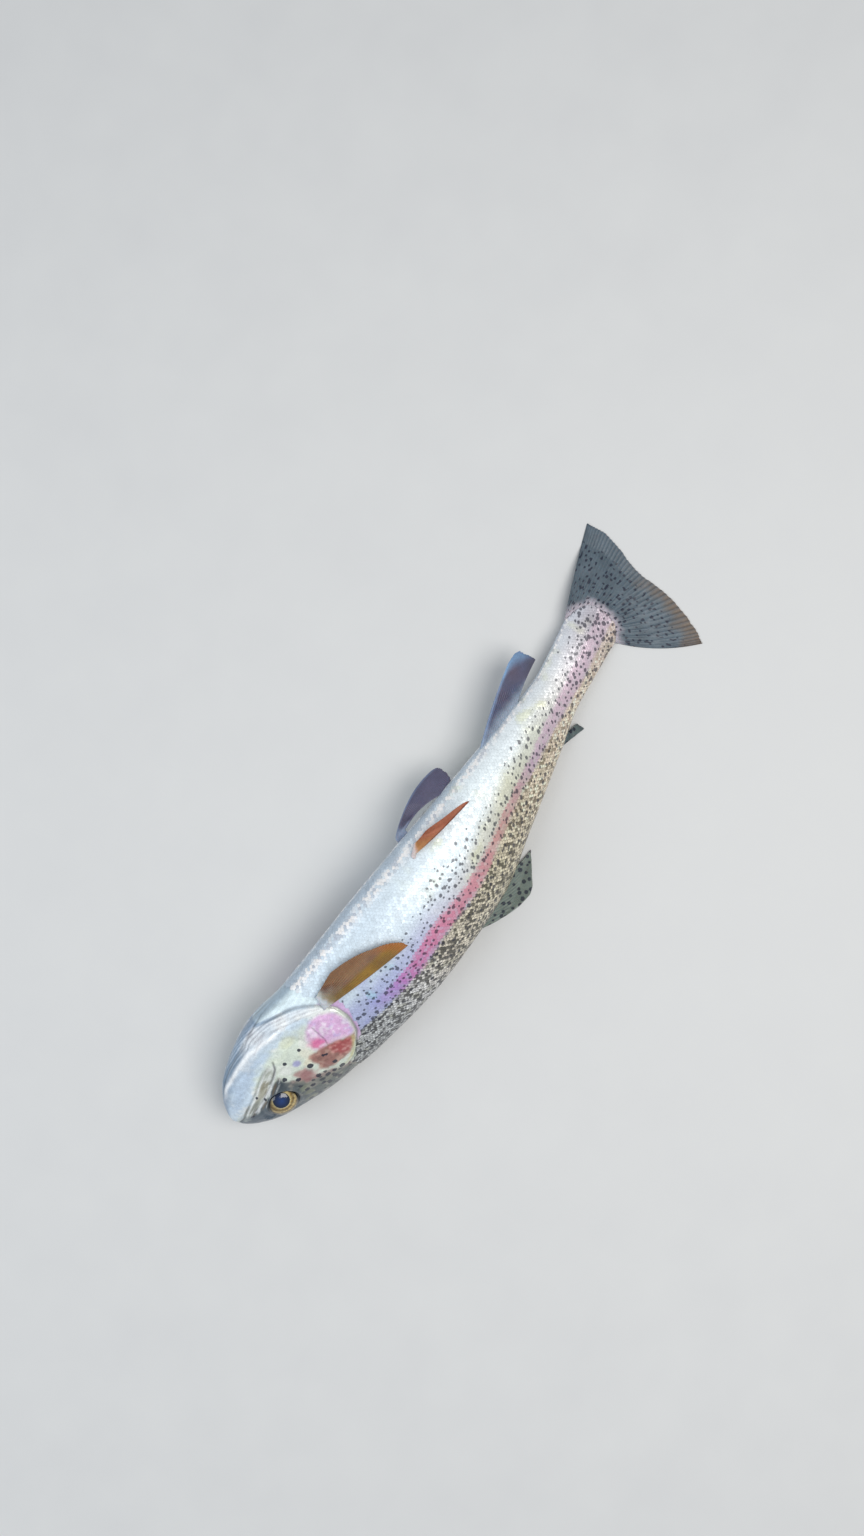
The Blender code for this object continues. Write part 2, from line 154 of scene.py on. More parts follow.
# The scales
SCALE_SPACING = 0.82  # between neighbouring columns of scales
SCALE_PITCH = 1.35  # between neighbouring rows
SCALE_SIZES = ((50, 0.72), (72, 0.88), (100, 1.0), (180, 1.0), (230, 0.86), (280, 0.72))
SCALE_HALF_LENGTH = 1.34
SCALE_HALF_WIDTH = 1.15
SCALE_SIDES = 12
SCALE_LIFT = 0.20  # how high the middle of a scale's face stands over the skin
SCALE_SLOPE = 0.11  # how much higher its rear edge is
SCALE_DOME = 0.05
SCALE_THICKNESS = 0.13
COAT_HEIGHT = 0.42
COAT_PIECES = 6
PATCH = 0.003  # the size of a scale's patch in the map for baking

# Markings, as (station, latitude or millimetres)
STRIPE = (
    (70, 3), (89, 4), (102, 5), (123, 2), (146, 4), (165, 2), (190, 0), (205, 3), (220, 4),
    (232, 9), (245, 12), (265, 11), (280, 10),
)
STRIPE_HALF_WIDTHS = (
    (70, 2.2), (90, 3.0), (120, 3.6), (150, 2.9), (180, 1.9), (205, 2.2), (245, 3.4), (280, 3.6),
)
SPOT_LIMIT = (
    (50, 5), (77, -27), (115, -25), (140, -42), (165, -34), (186, -31), (200, -40), (215, -46),
    (235, -44), (262, -62), (280, -88),
)
SPOT_LAYERS = ((2.7, 0.0), (3.9, 311.0))  # the pitch of the small spots, and where their pattern starts

# Colours along the body, as (station, code)
# The back's bright scale faces: partly the scales' own pale tone, partly painted glints
BACK_GLINT = (
    (50, "BEC1C0"), (78, "C8CBCC"), (95, "E2E2E2"), (115, "DED5C4"), (160, "DED4B8"), (195, "EEDFC6"),
    (240, "F7E6D0"), (275, "DCCFC8"),
)
BACK_DARK = ((50, "2A2E34"), (100, "363632"), (160, "464232"), (210, "84745E"), (260, "BCA898"))
FLANK = (
    (65, "B4BCDC"), (88, "BCC6EA"), (112, "C9CFEC"), (135, "DADCE8"), (160, "DEDFD6"), (190, "DBDCC8"),
    (215, "D3D6CB"), (250, "CFCBD0"), (278, "B2ADB6"),
)
STRIPE_BED = (
    (75, "9A84CC"), (92, "A867C0"), (104, "C65A9C"), (122, "D0668E"), (150, "C87884"), (172, "BC827E"),
    (190, "B48890"), (204, "B08CAC"), (235, "CCA4BC"), (262, "D0B0C2"), (280, "B8A2B0"),
)
STRIPE_FACE = (
    (75, "C9B6EE"), (92, "D9A6E4"), (104, "F09CCC"), (122, "F4A0BC"), (150, "ECA8B4"), (172, "E2AEA8"),
    (190, "E0B6BA"), (204, "E2C0DC"), (235, "F2D6E6"), (262, "F4DEEA"), (280, "E0CED8"),
)
BELLY = ((50, "CEDEE9"), (110, "DAE9F4"), (180, "ECF7FB"), (240, "E6ECEF"), (278, "C9CBD6"))
SPOT_DARK = "1B1F33"

# Regions of the head, as outlines of (station, latitude)
CROWN = (
    (-2, 20), (4, 6), (10.6, -1), (14.4, -2), (19.5, -7), (23.1, -10), (27.1, -13), (30.7, -14), (31, -8),
    (33, -3), (36, 5), (39.4, 12), (44.6, 18), (49, 26), (53, 34), (58, 43), (58, 95), (30, 130),
    (10, 150), (2, 260), (0.3, 500),
)
PINK_COVER = (
    (50, -11), (51, -18), (52.4, -24), (56, -30), (60.5, -35), (65, -33), (69, -26), (70.3, -16),
    (69.5, -8), (67.6, 1), (65.4, 3), (63, 1), (60.5, -2), (56.3, -6), (52.6, -7),
)
HOT_PINK = ((51, -11), (51.6, -18), (54, -20.5), (56.4, -17), (57.2, -11), (56.6, -6.5), (53, -7.5))
CORAL_COVER = (
    (47, -8), (51.5, -7.5), (56, -6), (60.4, -1.4), (64, 2.6), (66.6, 4), (64.6, 9), (61.5, 14), (58, 18),
    (54, 19.5), (50, 18), (46, 18.5), (45, 12), (46, 4), (45.4, -3),
)
RED_COVER = ((55.4, -4), (60, -1), (64, 4), (62.7, 9.5), (58.4, 15), (55, 13), (54.6, 4))
CHEEK_RED = ((36, -5), (39, -5), (41, -1.5), (42.4, 8), (41.5, 15), (37.5, 13), (35, 6), (35, -1))
# Painted shade on the lower jaw, between the mouth and the jaw's ridge
JAW_SHADE = (
    (4, -38), (8, -48), (14, -54), (22, -54), (29, -50), (36, -45), (38, -40), (31, -37), (23, -36),
    (14, -30), (7, -26),
)
# Lines of colour on the head, as (station, latitude)
# The pink edge is a painted highlight along the top of the coral patch
PINK_EDGE_HIGHLIGHT = ((51, -10), (54, -9.3), (57.2, -7.8), (60.7, -4.6), (63.6, -0.6))
YELLOW_RIM = ((65, 5), (63.4, 10), (60.4, 17), (56.4, 24), (52.6, 28), (49, 27))
PALE_LINE = ((35, -27), (32, -20.5), (27, -14.5), (23, -11.5), (19.5, -8.5), (14.4, -3.5), (10.6, -2))
DARK_HOOK = ((36, -30), (33.6, -23), (29.6, -19), (26.8, -17))
# Soft round patches of the head: station, latitude, half length, half height, colour, strength
HEAD_PATCHES = (
    (9, 22, 8, 8, "4F5D6B", 0.8),
    (13, 3, 6, 3.0, "56636C", 0.7),
    (27, -7, 4.5, 3.0, "3F4A52", 0.8),
    (33, 18, 3.0, 2.6, "838A72", 0.7),
    (36, 21, 4.0, 3.0, "96938A", 0.6),
    (29, 44, 3.4, 2.2, "858872", 0.6),
    (31.5, 29, 2.6, 2.2, "8E9078", 0.6),
    (44, 30, 5.0, 2.0, "8A897C", 0.6),
    (39.5, 4, 3.6, 2.2, "8E7478", 0.6),
    (41.5, -11.5, 2.1, 1.9, "A3A2D2", 0.85),
    (47, -34, 4.5, 2.6, "DDE0BC", 0.55),
    (40, -30, 6, 3.0, "E6F0DC", 0.5),
    (36, -14, 3.2, 3.4, "E9ECE6", 0.7),
    (47.5, -12, 3.0, 4.0, "EDEBD8", 0.7),
    (44.5, -5, 2.6, 1.6, "E9DFC4", 0.6),
    (24.5, -21, 4.5, 1.5, "8C846C", 0.7),
    (20, -16, 5.5, 1.5, "A39F88", 0.6),
    (12, -12, 5.5, 1.6, "8C8F86", 0.8),
)
# Dark spots of the head: station, latitude, radius
HEAD_SPOTS = (
    (47.1, -20, 0.65), (38.3, -20, 0.7), (31.9, -8, 0.9), (35.1, 3, 0.9), (43.5, 0, 1.1), (41.1, 16, 1.0),
    (43.5, 24, 1.0), (50.7, 15, 0.9), (50.3, 27, 1.1), (46.7, 25, 0.8), (44.3, 33, 0.9), (44.7, 42, 0.8),
    (38.7, 31, 0.9), (39.9, 39, 0.9), (32.7, 48, 0.9), (28.5, 47, 0.9), (35.7, 22, 0.9), (51.9, 1.5, 0.6),
    (50.7, 0, 0.6), (22.3, 63, 0.7), (17.9, -18, 0.5), (18.9, -7, 0.5), (8.1, 2, 0.6), (32.5, 22, 0.9),
    (30, 68, 0.8), (36, 60, 0.9), (41, 54, 0.9), (47, 50, 1.0), (44, 68, 0.9), (38, 78, 0.9), (50, 62, 1.0),
    (26, 80, 0.7), (15, 48, 0.6), (54, 38, 0.9), (12, 70, 0.6), (33, 84, 0.8), (48, 80, 1.0), (6, 40, 0.5),
)

# The stage
CAMERA_STATION = 176.957  # the point of the fish's frame that the camera stands over
CAMERA_Y = 22.609
CAMERA_HEIGHT = 582.0
LENS = 30.19
CAMERA_RIGHT = (0.5873, -0.8094)  # the way across the picture, over the floor
FLOOR_REACH = 4.0  # metres
# Soft lights, in metres: name, place, size, power, colour
LIGHTS = (
    ("key", (0.25, -0.35, 1.1), 0.8, 9.6, (1.0, 0.97, 0.93)),
    ("fill", (-0.7, 0.7, 0.9), 1.0, 6.6, (0.9, 0.95, 1.0)),
)
SKY = (0.80, 0.86, 0.95, 1)
SKY_STRENGTH = 0.33


# Curves and noise ------------------------------------------------------------------------------------


def smooth(x, xs, ys):
    """A smooth curve through the points (xs, ys) that never overshoots them, read at x."""
    x, xs, ys = (np.asarray(values, float) for values in (x, xs, ys))
    run = np.diff(xs)
    rise = np.diff(ys) / run
    product = rise[:-1] * rise[1:]
    before = 2 * run[1:] + run[:-1]
    after = run[1:] + 2 * run[:-1]
    weighted = np.where(product > 0, before * rise[1:] + after * rise[:-1], 1.0)
    inner = np.where(product > 0, (before + after) * product / weighted, 0.0)
    slope = np.concatenate([rise[:1], inner, rise[-1:]])
    i = np.clip(np.searchsorted(xs, x) - 1, 0, len(run) - 1)
    t = (x - xs[i]) / run[i]
    u = np.clip(t, 0, 1)
    bend = u * (1 - u) * (slope[i] * (1 - u) - slope[i + 1] * u)
    value = ys[i] * (1 + 2 * u) * (1 - u) ** 2 + ys[i + 1] * u**2 * (3 - 2 * u) + run[i] * bend
    beyond = np.where(t > 1, slope[-1], np.where(t < 0, slope[0], 0.0))
    return value + beyond * (t - u) * run[i]


def along(x, pairs):
    """The smooth curve through pairs of numbers, read at x and held level past its ends."""
    xs, ys = zip(*pairs)
    return smooth(np.clip(x, xs[0], xs[-1]), xs, ys)


def fade(x, none, full):
    """0 from none on and 1 from full on, and smooth between. Either may be the larger."""
    share = np.clip((x - none) / (full - none), 0, 1)
    return share * share * (3 - 2 * share)


def between(x, low, full_from, full_to, high):
    """1 in the middle of a range, fading to 0 at its ends low and high."""
    return fade(x, low, full_from) * fade(x, high, full_to)


def bump(x, width):
    return np.exp(-((x / width) ** 2))


def ripple(points, size, seed, waves=14):
    """Smooth noise of about -1 to 1 in space, with features of about that size in millimetres."""
    rng = np.random.default_rng(seed)
    ways = rng.normal(size=(waves, 3))
    ways /= np.linalg.norm(ways, axis=1, keepdims=True)
    ways *= (TURN / (size * rng.uniform(1.2, 3.2, waves)))[:, None]
    phase = rng.uniform(0, TURN, waves)
    return np.sin(points @ ways.T + phase).mean(-1) * 2.2


# The body's shape ------------------------------------------------------------------------------------


def half_depth(s):
    return smooth(np.sqrt(np.maximum(s, 0)), np.sqrt(STATIONS), HALF_DEPTHS)


def half_width(s):
    return smooth(np.sqrt(np.maximum(s, 0)), np.sqrt(STATIONS), HALF_WIDTHS)


def place(s, up, side, base=None, lay=0.0):
    """World millimetres of a point of the fish. Whatever would sink below the height lay is laid on it.

    A fin's points roll with the station base, where its ray grows out of the body.
    """
    s = np.asarray(s, float)
    roll = np.radians(smooth(s if base is None else base, ROLL_STATIONS, ROLLS))
    y = -smooth(s, AXIS_STATIONS, AXIS_SHIFTS) - up * np.cos(roll) - side * np.sin(roll)
    z = smooth(s, AXIS_STATIONS, AXIS_HEIGHTS) - up * np.sin(roll) + side * np.cos(roll)
    return np.stack(np.broadcast_arrays(s, y, np.maximum(z, lay)), axis=-1)


def surface(s, angle, radius=1.0):
    """(station, height, side) on the body's surface: angle 0 is the right flank, 90 degrees the back."""
    s = np.asarray(s, float)
    sine = np.sin(angle)
    jaw = np.clip(1 - s / JAW_REACH, 0, 1) * JAW_PINCH
    pinch = np.where(sine > 0, BACK_PINCH * sine**2, (BELLY_PINCH + jaw) * sine**2)
    return s, radius * half_depth(s) * sine, radius * half_width(s) * np.cos(angle) * (1 - pinch)


def body_end(angle):
    sine = np.sin(angle)
    return BODY_END - np.where(sine > 0, UPPER_SWEEP, LOWER_SWEEP) * np.abs(sine) ** 3


def find_offset():
    """How far the solids were moved in X and Y when they were centred on their box."""
    s, angle = np.meshgrid(np.linspace(*TRUNK, 60), np.arange(36) * math.pi / 18, indexing="ij")
    lowest = place(*surface(s, angle))[..., 1].min()
    return np.array([-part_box("head")[0].x / MM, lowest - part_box("trunk")[0].y / MM, 0.0])


OFFSET = find_offset()


def skin_frame(s, angle):
    """The body's surface there, and the way that points out of it, in world millimetres."""
    step = np.minimum(0.5, 0.4 * s)
    turn = 0.02
    rear = place(*surface(s + step, angle)) - place(*surface(s - step, angle))
    round_it = place(*surface(s, angle + turn)) - place(*surface(s, angle - turn))
    return place(*surface(s, angle)), unit(np.cross(round_it, rear))


def unit(ways):
    return ways / np.linalg.norm(ways, axis=-1, keepdims=True)


# Spots and lines on the skin -------------------------------------------------------------------------


def latitude(angle):
    return np.degrees(np.arcsin(np.clip(np.sin(angle), -1, 1)))


def speed(s, lat):
    """Millimetres over the skin for each radian of latitude."""
    turned = np.radians(lat)
    return np.hypot(half_depth(s) * np.cos(turned), half_width(s) * np.sin(turned))


def arc(s, lat):
    """Millimetres over the skin from the middle of the flank up to that latitude."""
    slices = 8
    shares = (np.arange(slices) + 0.5) / slices
    s = np.asarray(s, float)[..., None]
    lat = np.asarray(lat, float)
    return np.radians(lat) * speed(s, lat[..., None] * shares).mean(-1)


def from_back(s, angle):
    """Millimetres over the skin from the middle of the back, counted negative on the left side."""
    side = np.where(np.cos(angle) >= 0, 1.0, -1.0)
    return side * (arc(s, 90.0 + 0 * s) - arc(s, latitude(angle)))


def off_spot(s, lat, station, spot_lat, length=1, height=1):
    """How far a place on the skin is from a spot, in millimetres or in the spot's own half sizes."""
    return np.hypot((s - station) / length, (arc(s, lat) - arc(s, spot_lat)) / height)


def over_line(s, lat, line):
    """How far a spot lies above a line that runs along the body."""
    here = arc(s, along(s, line))
    slope = arc(s + 0.5, along(s + 0.5, line)) - arc(s - 0.5, along(s - 0.5, line))
    return (arc(s, lat) - here) / np.sqrt(1 + slope**2)


def behind_line(s, lat, line):
    """How far a spot lies behind a line that runs across the body."""
    slope = (along(lat + 1, line) - along(lat - 1, line)) / (math.radians(2) * speed(s, lat) + 0.1)
    return (s - along(lat, line)) / np.sqrt(1 + slope**2)


def edges(s, lat, outline):
    """How near each edge of an outline comes to a spot on the skin, and whether it crosses the way out."""
    y = arc(s, lat)
    corners = np.array([(station, float(arc(station, corner_lat))) for station, corner_lat in outline])
    for (xa, ya), (xb, yb) in zip(corners, np.roll(corners, -1, axis=0)):
        run, rise = xb - xa, yb - ya
        share = np.clip(((s - xa) * run + (y - ya) * rise) / (run**2 + rise**2 + 1e-9), 0, 1)
        crosses = ((ya > y) != (yb > y)) & (s < run * (y - ya) / (rise if rise else 1) + xa)
        yield np.hypot(s - xa - share * run, y - ya - share * rise), crosses


def region(s, lat, outline, soft=0.5, wobble=0.0):
    """1 inside an outline of (station, latitude) corners and 0 outside it, with a soft edge."""
    nearest = 1e9
    within = False
    for distance, crosses in edges(s, lat, outline):
        nearest = np.minimum(nearest, distance)
        within = within ^ crosses
    return fade(np.where(within, nearest, -nearest) + wobble, -soft, soft)


def near_line(s, lat, line, width):
    """1 on a line of (station, latitude) points, fading over the given width."""
    distances = [distance for distance, _ in edges(s, lat, line)][:-1]
    return bump(np.minimum.reduce(distances), width)


# The shape of the head's skin ------------------------------------------------------------------------


def is_scaled(s, lat):
    """1 where scales grow and 0 on the bare head, with a narrow change between."""
    return fade(behind_line(s, lat, SCALES_BEGIN), -0.6, 0.8)


def cover_mask(s, lat):
    """1 on the gill cover."""
    front = fade(behind_line(s, lat, CHEEK_EDGE), -0.3, 0.3)
    rear = fade(behind_line(s, lat, GILL_OPENING), 0.25, -0.25)
    return front * rear * fade(over_line(s, lat, COVER_FOOT), -0.3, 0.3) * fade(lat, 36, 26)


def mouth_mask(s, lat):
    """1 in the slit of the mouth."""
    return bump(over_line(s, lat, MOUTH_SLIT), 0.42) * between(s, -0.5, 1.5, 28, 31.5)


def maxilla_mask(s, lat):
    """1 on the long bone over the mouth."""
    under = fade(over_line(s, lat, MAXILLA_TOP), 0.2, -0.5)
    return under * fade(over_line(s, lat, MOUTH_SLIT), -0.1, 0.5) * between(s, 4, 10, 31.5, 34.5)


def maxilla_groove(s, lat, width):
    """1 in the groove over that bone."""
    return bump(over_line(s, lat, MAXILLA_TOP) - 0.2, width) * between(s, 6, 12, 33, 36)


def suture(s, lat, width):
    """1 in the seam across the gill cover."""
    return bump(behind_line(s, lat, SMALL_SUTURE), width) * between(lat, -31, -28, -8, -5)


def opening_mask(s, lat):
    """1 in the crevice behind the gill cover."""
    return bump(behind_line(s, lat, GILL_OPENING) - 0.45, 0.5) * between(lat, -74, -62, 30, 40)


def fold_wave(s, lat):
    """The folds of the gill membrane under the cover: 0 in a groove and 1 on a fold, and where they are."""
    below = -over_line(s, lat, COVER_FOOT)
    ahead = -behind_line(s, lat, GILL_OPENING)
    room = fade(below, 0.0, 1.2) * fade(ahead, 0.2, 1.2) * fade(s, 27, 37) * fade(lat, -82, -74)
    pitch = 1.9
    phase = (below + 0.04 * (s - 50)) / pitch
    return np.abs(np.cos(math.pi * phase)) ** 0.7, room


def relief(s, angle):
    """How far the skin lies over the solids' surface. It is nowhere above it."""
    lat = latitude(angle)
    scaled = is_scaled(s, lat)
    bare = 1 - scaled
    rim = behind_line(s, lat, GILL_OPENING)
    # the gill cover, the membrane behind it and the seams
    height = -HEAD_INSET * bare - SCALED_INSET * scaled
    height += 0.42 * cover_mask(s, lat) * (0.75 + 0.25 * fade(rim, -6, -0.5))
    height += 0.3 * bare * fade(rim, 0, -0.8) * between(lat, -70, -62, -50, -40)
    height -= 0.85 * opening_mask(s, lat)
    height -= 0.28 * bump(behind_line(s, lat, CHEEK_EDGE) - 0.3, 0.35) * between(lat, -46, -36, 20, 30)
    height -= 0.24 * suture(s, lat, 0.28)
    height -= 0.35 * bump(over_line(s, lat, COVER_FOOT) + 0.2, 0.45) * between(s, 38, 46, 66, 69)
    wave, room = fold_wave(s, lat)
    height += room * (0.38 * wave - 0.22) * bare
    # the mouth and the jaw
    height -= 0.6 * mouth_mask(s, lat)
    height += 0.34 * maxilla_mask(s, lat)
    height -= 0.42 * maxilla_groove(s, lat, 0.4)
    height += 0.22 * bump(over_line(s, lat, MOUTH_SLIT) + 1.0, 0.8) * fade(s, 30, 24)
    height += 0.34 * bump(over_line(s, lat, JAW_RIDGE), 1.9) * between(s, 2, 8, 40, 52)
    height -= 0.45 * bump(over_line(s, lat, JAW_GROOVE), 0.9) * between(s, 4, 12, 44, 58)
    # the rim and the socket of the eye, and the nostrils
    eye = np.hypot(s - EYE_STATION, half_depth(s) * np.sin(angle) - EYE_HEIGHT)
    height += 0.25 * bump(eye - 8.2, 0.7) - 0.35 * bump(eye - 9.7, 0.8) * fade(s, 27, 22)
    height -= 3.0 * fade(eye, 7.3, 6.5)
    for station, nostril_lat, size in NOSTRILS:
        off = off_spot(s, lat, station, nostril_lat)
        height -= 1.0 * bump(off, size) - 0.32 * bump(off - 1.35, 0.45)
    point = place(*surface(s, angle))
    height += bare * (0.05 * ripple(point, 2.0, 5) + 0.05 * ripple(point, 0.9, 6))
    return np.minimum(height, -0.06)


# Colours ---------------------------------------------------------------------------------------------


def srgb(text):
    """Linear colour of a code such as "D56F8C"."""
    values = np.array([int(text[i : i + 2], 16) for i in (0, 2, 4)]) / 255
    return np.where(values <= 0.04045, values / 12.92, ((values + 0.055) / 1.055) ** 2.4)


def rgba(code):
    return (*srgb(code), 1.0)


def mix(under, over, share):
    """A colour or code laid over another, of which the given share shows."""
    under, over = (srgb(colour) if isinstance(colour, str) else colour for colour in (under, over))
    share = np.asarray(share)[..., None]
    return under * (1 - share) + over * share


def paint(colour, *layers):
    """A colour under layers, each a colour or code and the share of it that shows."""
    for over, share in layers:
        colour = mix(colour, over, share)
    return colour


def colours_along(s, pairs):
    """A colour that changes with the station, through pairs of station and code."""
    stations = [station for station, _ in pairs]
    codes = np.array([srgb(code) for _, code in pairs])
    return np.stack([np.interp(s, stations, codes[:, i]) for i in range(3)], axis=-1)


def throat_colour(s, lat, slow, wobble, grain):
    """The pale cheek with painted highlights, and the jaw with blue-grey painted shade round its ridge and a
    painted highlight along it.
    """
    low = wobble * 6 - lat + 24 * fade(s, 28, 12)
    jaw = over_line(s, lat, JAW_RIDGE) + 0.25 * wobble
    jaw_length = between(s, 5, 14, 44, 56)
    lines = fade(np.cos(TURN * jaw / 1.5), 0.1, 0.9) * between(jaw, -12, -8, -3, -1.6)
    return paint(
        mix("DAE4D6", "D2E2EE", fade(low, 26, 46)),
        # pale clouds on the cheek, painted highlights of the wet skin
        ("F4F4EE", 0.6 * fade(slow + 0.4 * grain, 0.1, 0.9)),
        # painted shade on the throat's far side
        ("728BA6", 0.86 * fade(3 * wobble - lat, 42, 70) * fade(s, 66, 44)),
        # painted shade on the jaw between the mouth and its ridge
        ("B4C8E0", 0.6 * region(s, lat, JAW_SHADE, 2.2, 0.5 * wobble)),
        # painted shade along the lower side of the jaw's ridge
        ("6F879E", 0.65 * bump(jaw + 3.6, 2.2) * jaw_length),
        ("DCE8F0", 0.4 * lines * fade(s, 14, 24) * jaw_length),
        # a painted highlight along the jaw's ridge
        ("FAFDFF", 0.95 * bump(jaw, 1.15) * jaw_length),
    )


def membrane_colour(colour, s, lat, slow, streak):
    """Adds the streaks of the gill membrane, the skin behind it and the upper lip."""
    wave, room = fold_wave(s, lat)
    behind = fade(behind_line(s, lat, GILL_OPENING), 0.6, 2.0) * fade(lat, -34, -44)
    return paint(
        colour,
        # the membrane's streaks: painted highlight on its folds and painted shade in its grooves
        (mix("B0A8AC", "F6F9F9", np.clip(wave + 0.5 * streak + 0.2, 0, 1)),
         0.65 * room * (0.6 + 0.4 * fade(slow, -0.5, 0.4))),
        # painted shade: the skin behind the gill opening turns greyer towards the belly's middle
        (mix("DDEEF3", "A4B8C6", fade(lat, -70, -84)), behind),
        (mix("A5A89F", "D6DCDB", fade(streak, -0.3, 0.6)), 0.7 * maxilla_mask(s, lat)),
    )


def crown_colour(colour, s, lat, wobble, grain):
    """Adds the slate crown with its paler border, and the soft patches."""
    depth = fade(region(s, lat, CROWN, 8.0), 0.5, 0.92)
    slate = paint(
        mix("4A5764", "5A615C", fade(s, 20, 42)),
        ("9A968A", 0.75 * fade(wobble + 0.5 * grain, 0.1, 0.8) * fade(s, 18, 34)),
        ("39444C", 0.7 * fade(0.5 * grain - wobble, 0.3, 0.9)),
        (mix("A39D90", "A58A88", fade(wobble, -0.3, 0.5)), 0.8 * (1 - depth) * fade(s, 29, 35)),
    )
    colour = mix(colour, slate, 0.96 * region(s, lat, CROWN, 1.1, 0.7 * wobble + 0.4 * grain))
    for station, patch_lat, length, height, code, strength in HEAD_PATCHES:
        off = off_spot(s, lat, station, patch_lat, length, height)
        colour = mix(colour, code, strength * fade(0.12 * wobble + 0.08 * grain - off, -1.2, -0.55))
    return colour


def snout_colour(colour, s, lat):
    """Adds the fine lines between the mouth and the eye."""
    mouth = over_line(s, lat, MOUTH_SLIT)
    fibre = ripple(np.stack([0.1 * s, mouth, 0 * s], axis=-1), 0.55, 24)
    zone = between(mouth, 0.2, 1.2, 7.5, 9.5) * between(s, 5, 10, 30, 35) * fade(lat, 6, 0)
    return paint(
        colour,
        ("75664F", 0.6 * zone * fade(fibre, 0.15, 0.7)),
        ("EEF2EF", 0.65 * zone * fade(fibre, -0.15, -0.7)),
        ("F4F8F7", 0.75 * bump(mouth - 0.9, 0.4) * between(s, 5, 9, 26, 32)),
    )


def cover_colour(colour, s, lat, slow, wobble, grain, streak):
    """Adds the pink and coral of the gill cover, the red of the cheek and the thin lines."""
    pink = mix("EDBFEA", "DAC2F2", fade(wobble + 0.5 * grain, 0.0, 0.9))
    pink = mix(pink, "FAEBFA", 0.8 * fade(0.8 * grain - slow, 0.0, 0.8))
    coral = mix("A2645C", "BE9182", fade(wobble + 0.6 * grain, -0.1, 0.9))
    coral = mix(coral, "7E4C40", 0.65 * fade(0.6 * streak - wobble, 0.15, 0.9))
    red = mix("BC5A5C", "D99492", fade(grain + 0.4 * wobble, -0.1, 0.9))
    return paint(
        colour,
        (pink, 0.95 * fade(s, 48, 57) * region(s, lat, PINK_COVER, 1.1, 0.3 * wobble)),
        ("E8609C", 0.8 * region(s, lat, HOT_PINK, 1.9, 0.9 * wobble + 0.5 * grain)),
        (coral, 0.9 * region(s, lat, CORAL_COVER, 0.9, 0.6 * wobble + 0.3 * grain)),
        (red, 0.85 * region(s, lat, RED_COVER, 1.4, 0.7 * wobble + 0.3 * grain)),
        ("A5686A", 0.75 * region(s, lat, CHEEK_RED, 1.3, 1.0 * wobble + 0.4 * grain)),
        # a painted highlight along the top of the coral patch
        ("FCE6F4", 0.75 * near_line(s, lat, PINK_EDGE_HIGHLIGHT, 0.75) * fade(grain, 0.9, -0.3)),
        ("D2CC94", 0.75 * near_line(s, lat, YELLOW_RIM, 0.8) * fade(wobble, -0.9, 0.2)),
        ("E6E9EC", 0.8 * near_line(s, lat, PALE_LINE, 0.55)),
        ("2E3334", 0.7 * near_line(s, lat, DARK_HOOK, 0.45)),
    )


def head_colour(s, lat, point):
    """The bare skin's colour."""
    slow = ripple(point, 5.0, 20)
    wobble = ripple(point, 2.4, 21)
    grain = ripple(point, 0.9, 22)
    streak = ripple(np.stack([0.22 * s, arc(s, lat), 0 * s], axis=-1), 0.9, 23)
    colour = throat_colour(s, lat, slow, wobble, grain)
    colour = membrane_colour(colour, s, lat, slow, streak)
    colour = crown_colour(colour, s, lat, wobble, grain)
    colour = snout_colour(colour, s, lat)
    colour = cover_colour(colour, s, lat, slow, wobble, grain, streak)
    return np.clip(colour * (1 + 0.06 * grain + 0.08 * streak)[..., None], 0, 1)


def shoulder_colour(s, lat, colour):
    """Adds the smooth lilac strip behind the gill opening."""
    behind = fade(behind_line(s, lat, GILL_OPENING), 0.3, 0.9)
    return mix(colour, "D3AEDD", 0.9 * behind * between(lat, -44, -36, 6, 22))


def crease_shade(s, lat):
    """How much painted shade darkens the mouth, the gill opening and the seams between the head's plates."""
    shade = 0.45 * mouth_mask(s, lat) + 0.6 * opening_mask(s, lat)
    shade += 0.6 * suture(s, lat, 0.25) + 0.35 * maxilla_groove(s, lat, 0.3)
    shade += 0.4 * bump(over_line(s, lat, JAW_GROOVE), 0.6) * between(s, 4, 12, 46, 60)
    return np.clip(shade, 0, 1)


def head_spots(s, lat, point):
    """1 in the head's dark spots."""
    spots = np.zeros(np.shape(s))
    wobble = 0.16 * ripple(point, 1.0, 31)
    for station, spot_lat, radius in HEAD_SPOTS:
        off = off_spot(s, lat, station, spot_lat)
        spots = np.maximum(spots, fade(radius * (1.25 + wobble) - off, -0.25, 0.25))
    return spots


def spot_layers(s, angle):
    """What the spots' nodes read: the place on the unrolled skin, the chance of a spot, and their size."""
    lat = latitude(angle)
    over = arc(s, lat) - arc(s, along(s, SPOT_LIMIT))
    grows = fade(s, 225, 270)
    crown = region(s, lat, CROWN) * fade(s, 30, 36)
    scaled = is_scaled(s, lat)
    chance = scaled * fade(over, -1.0, 8.0) * (0.7 + 0.18 * grows) + (1 - scaled) * 0.3 * crown
    size = (1 + 0.25 * grows) * (0.78 + 0.22 * fade(over, 0, 10)) + 0.35 * crown
    return np.stack([s, from_back(s, angle), 0 * s], axis=-1), chance, size


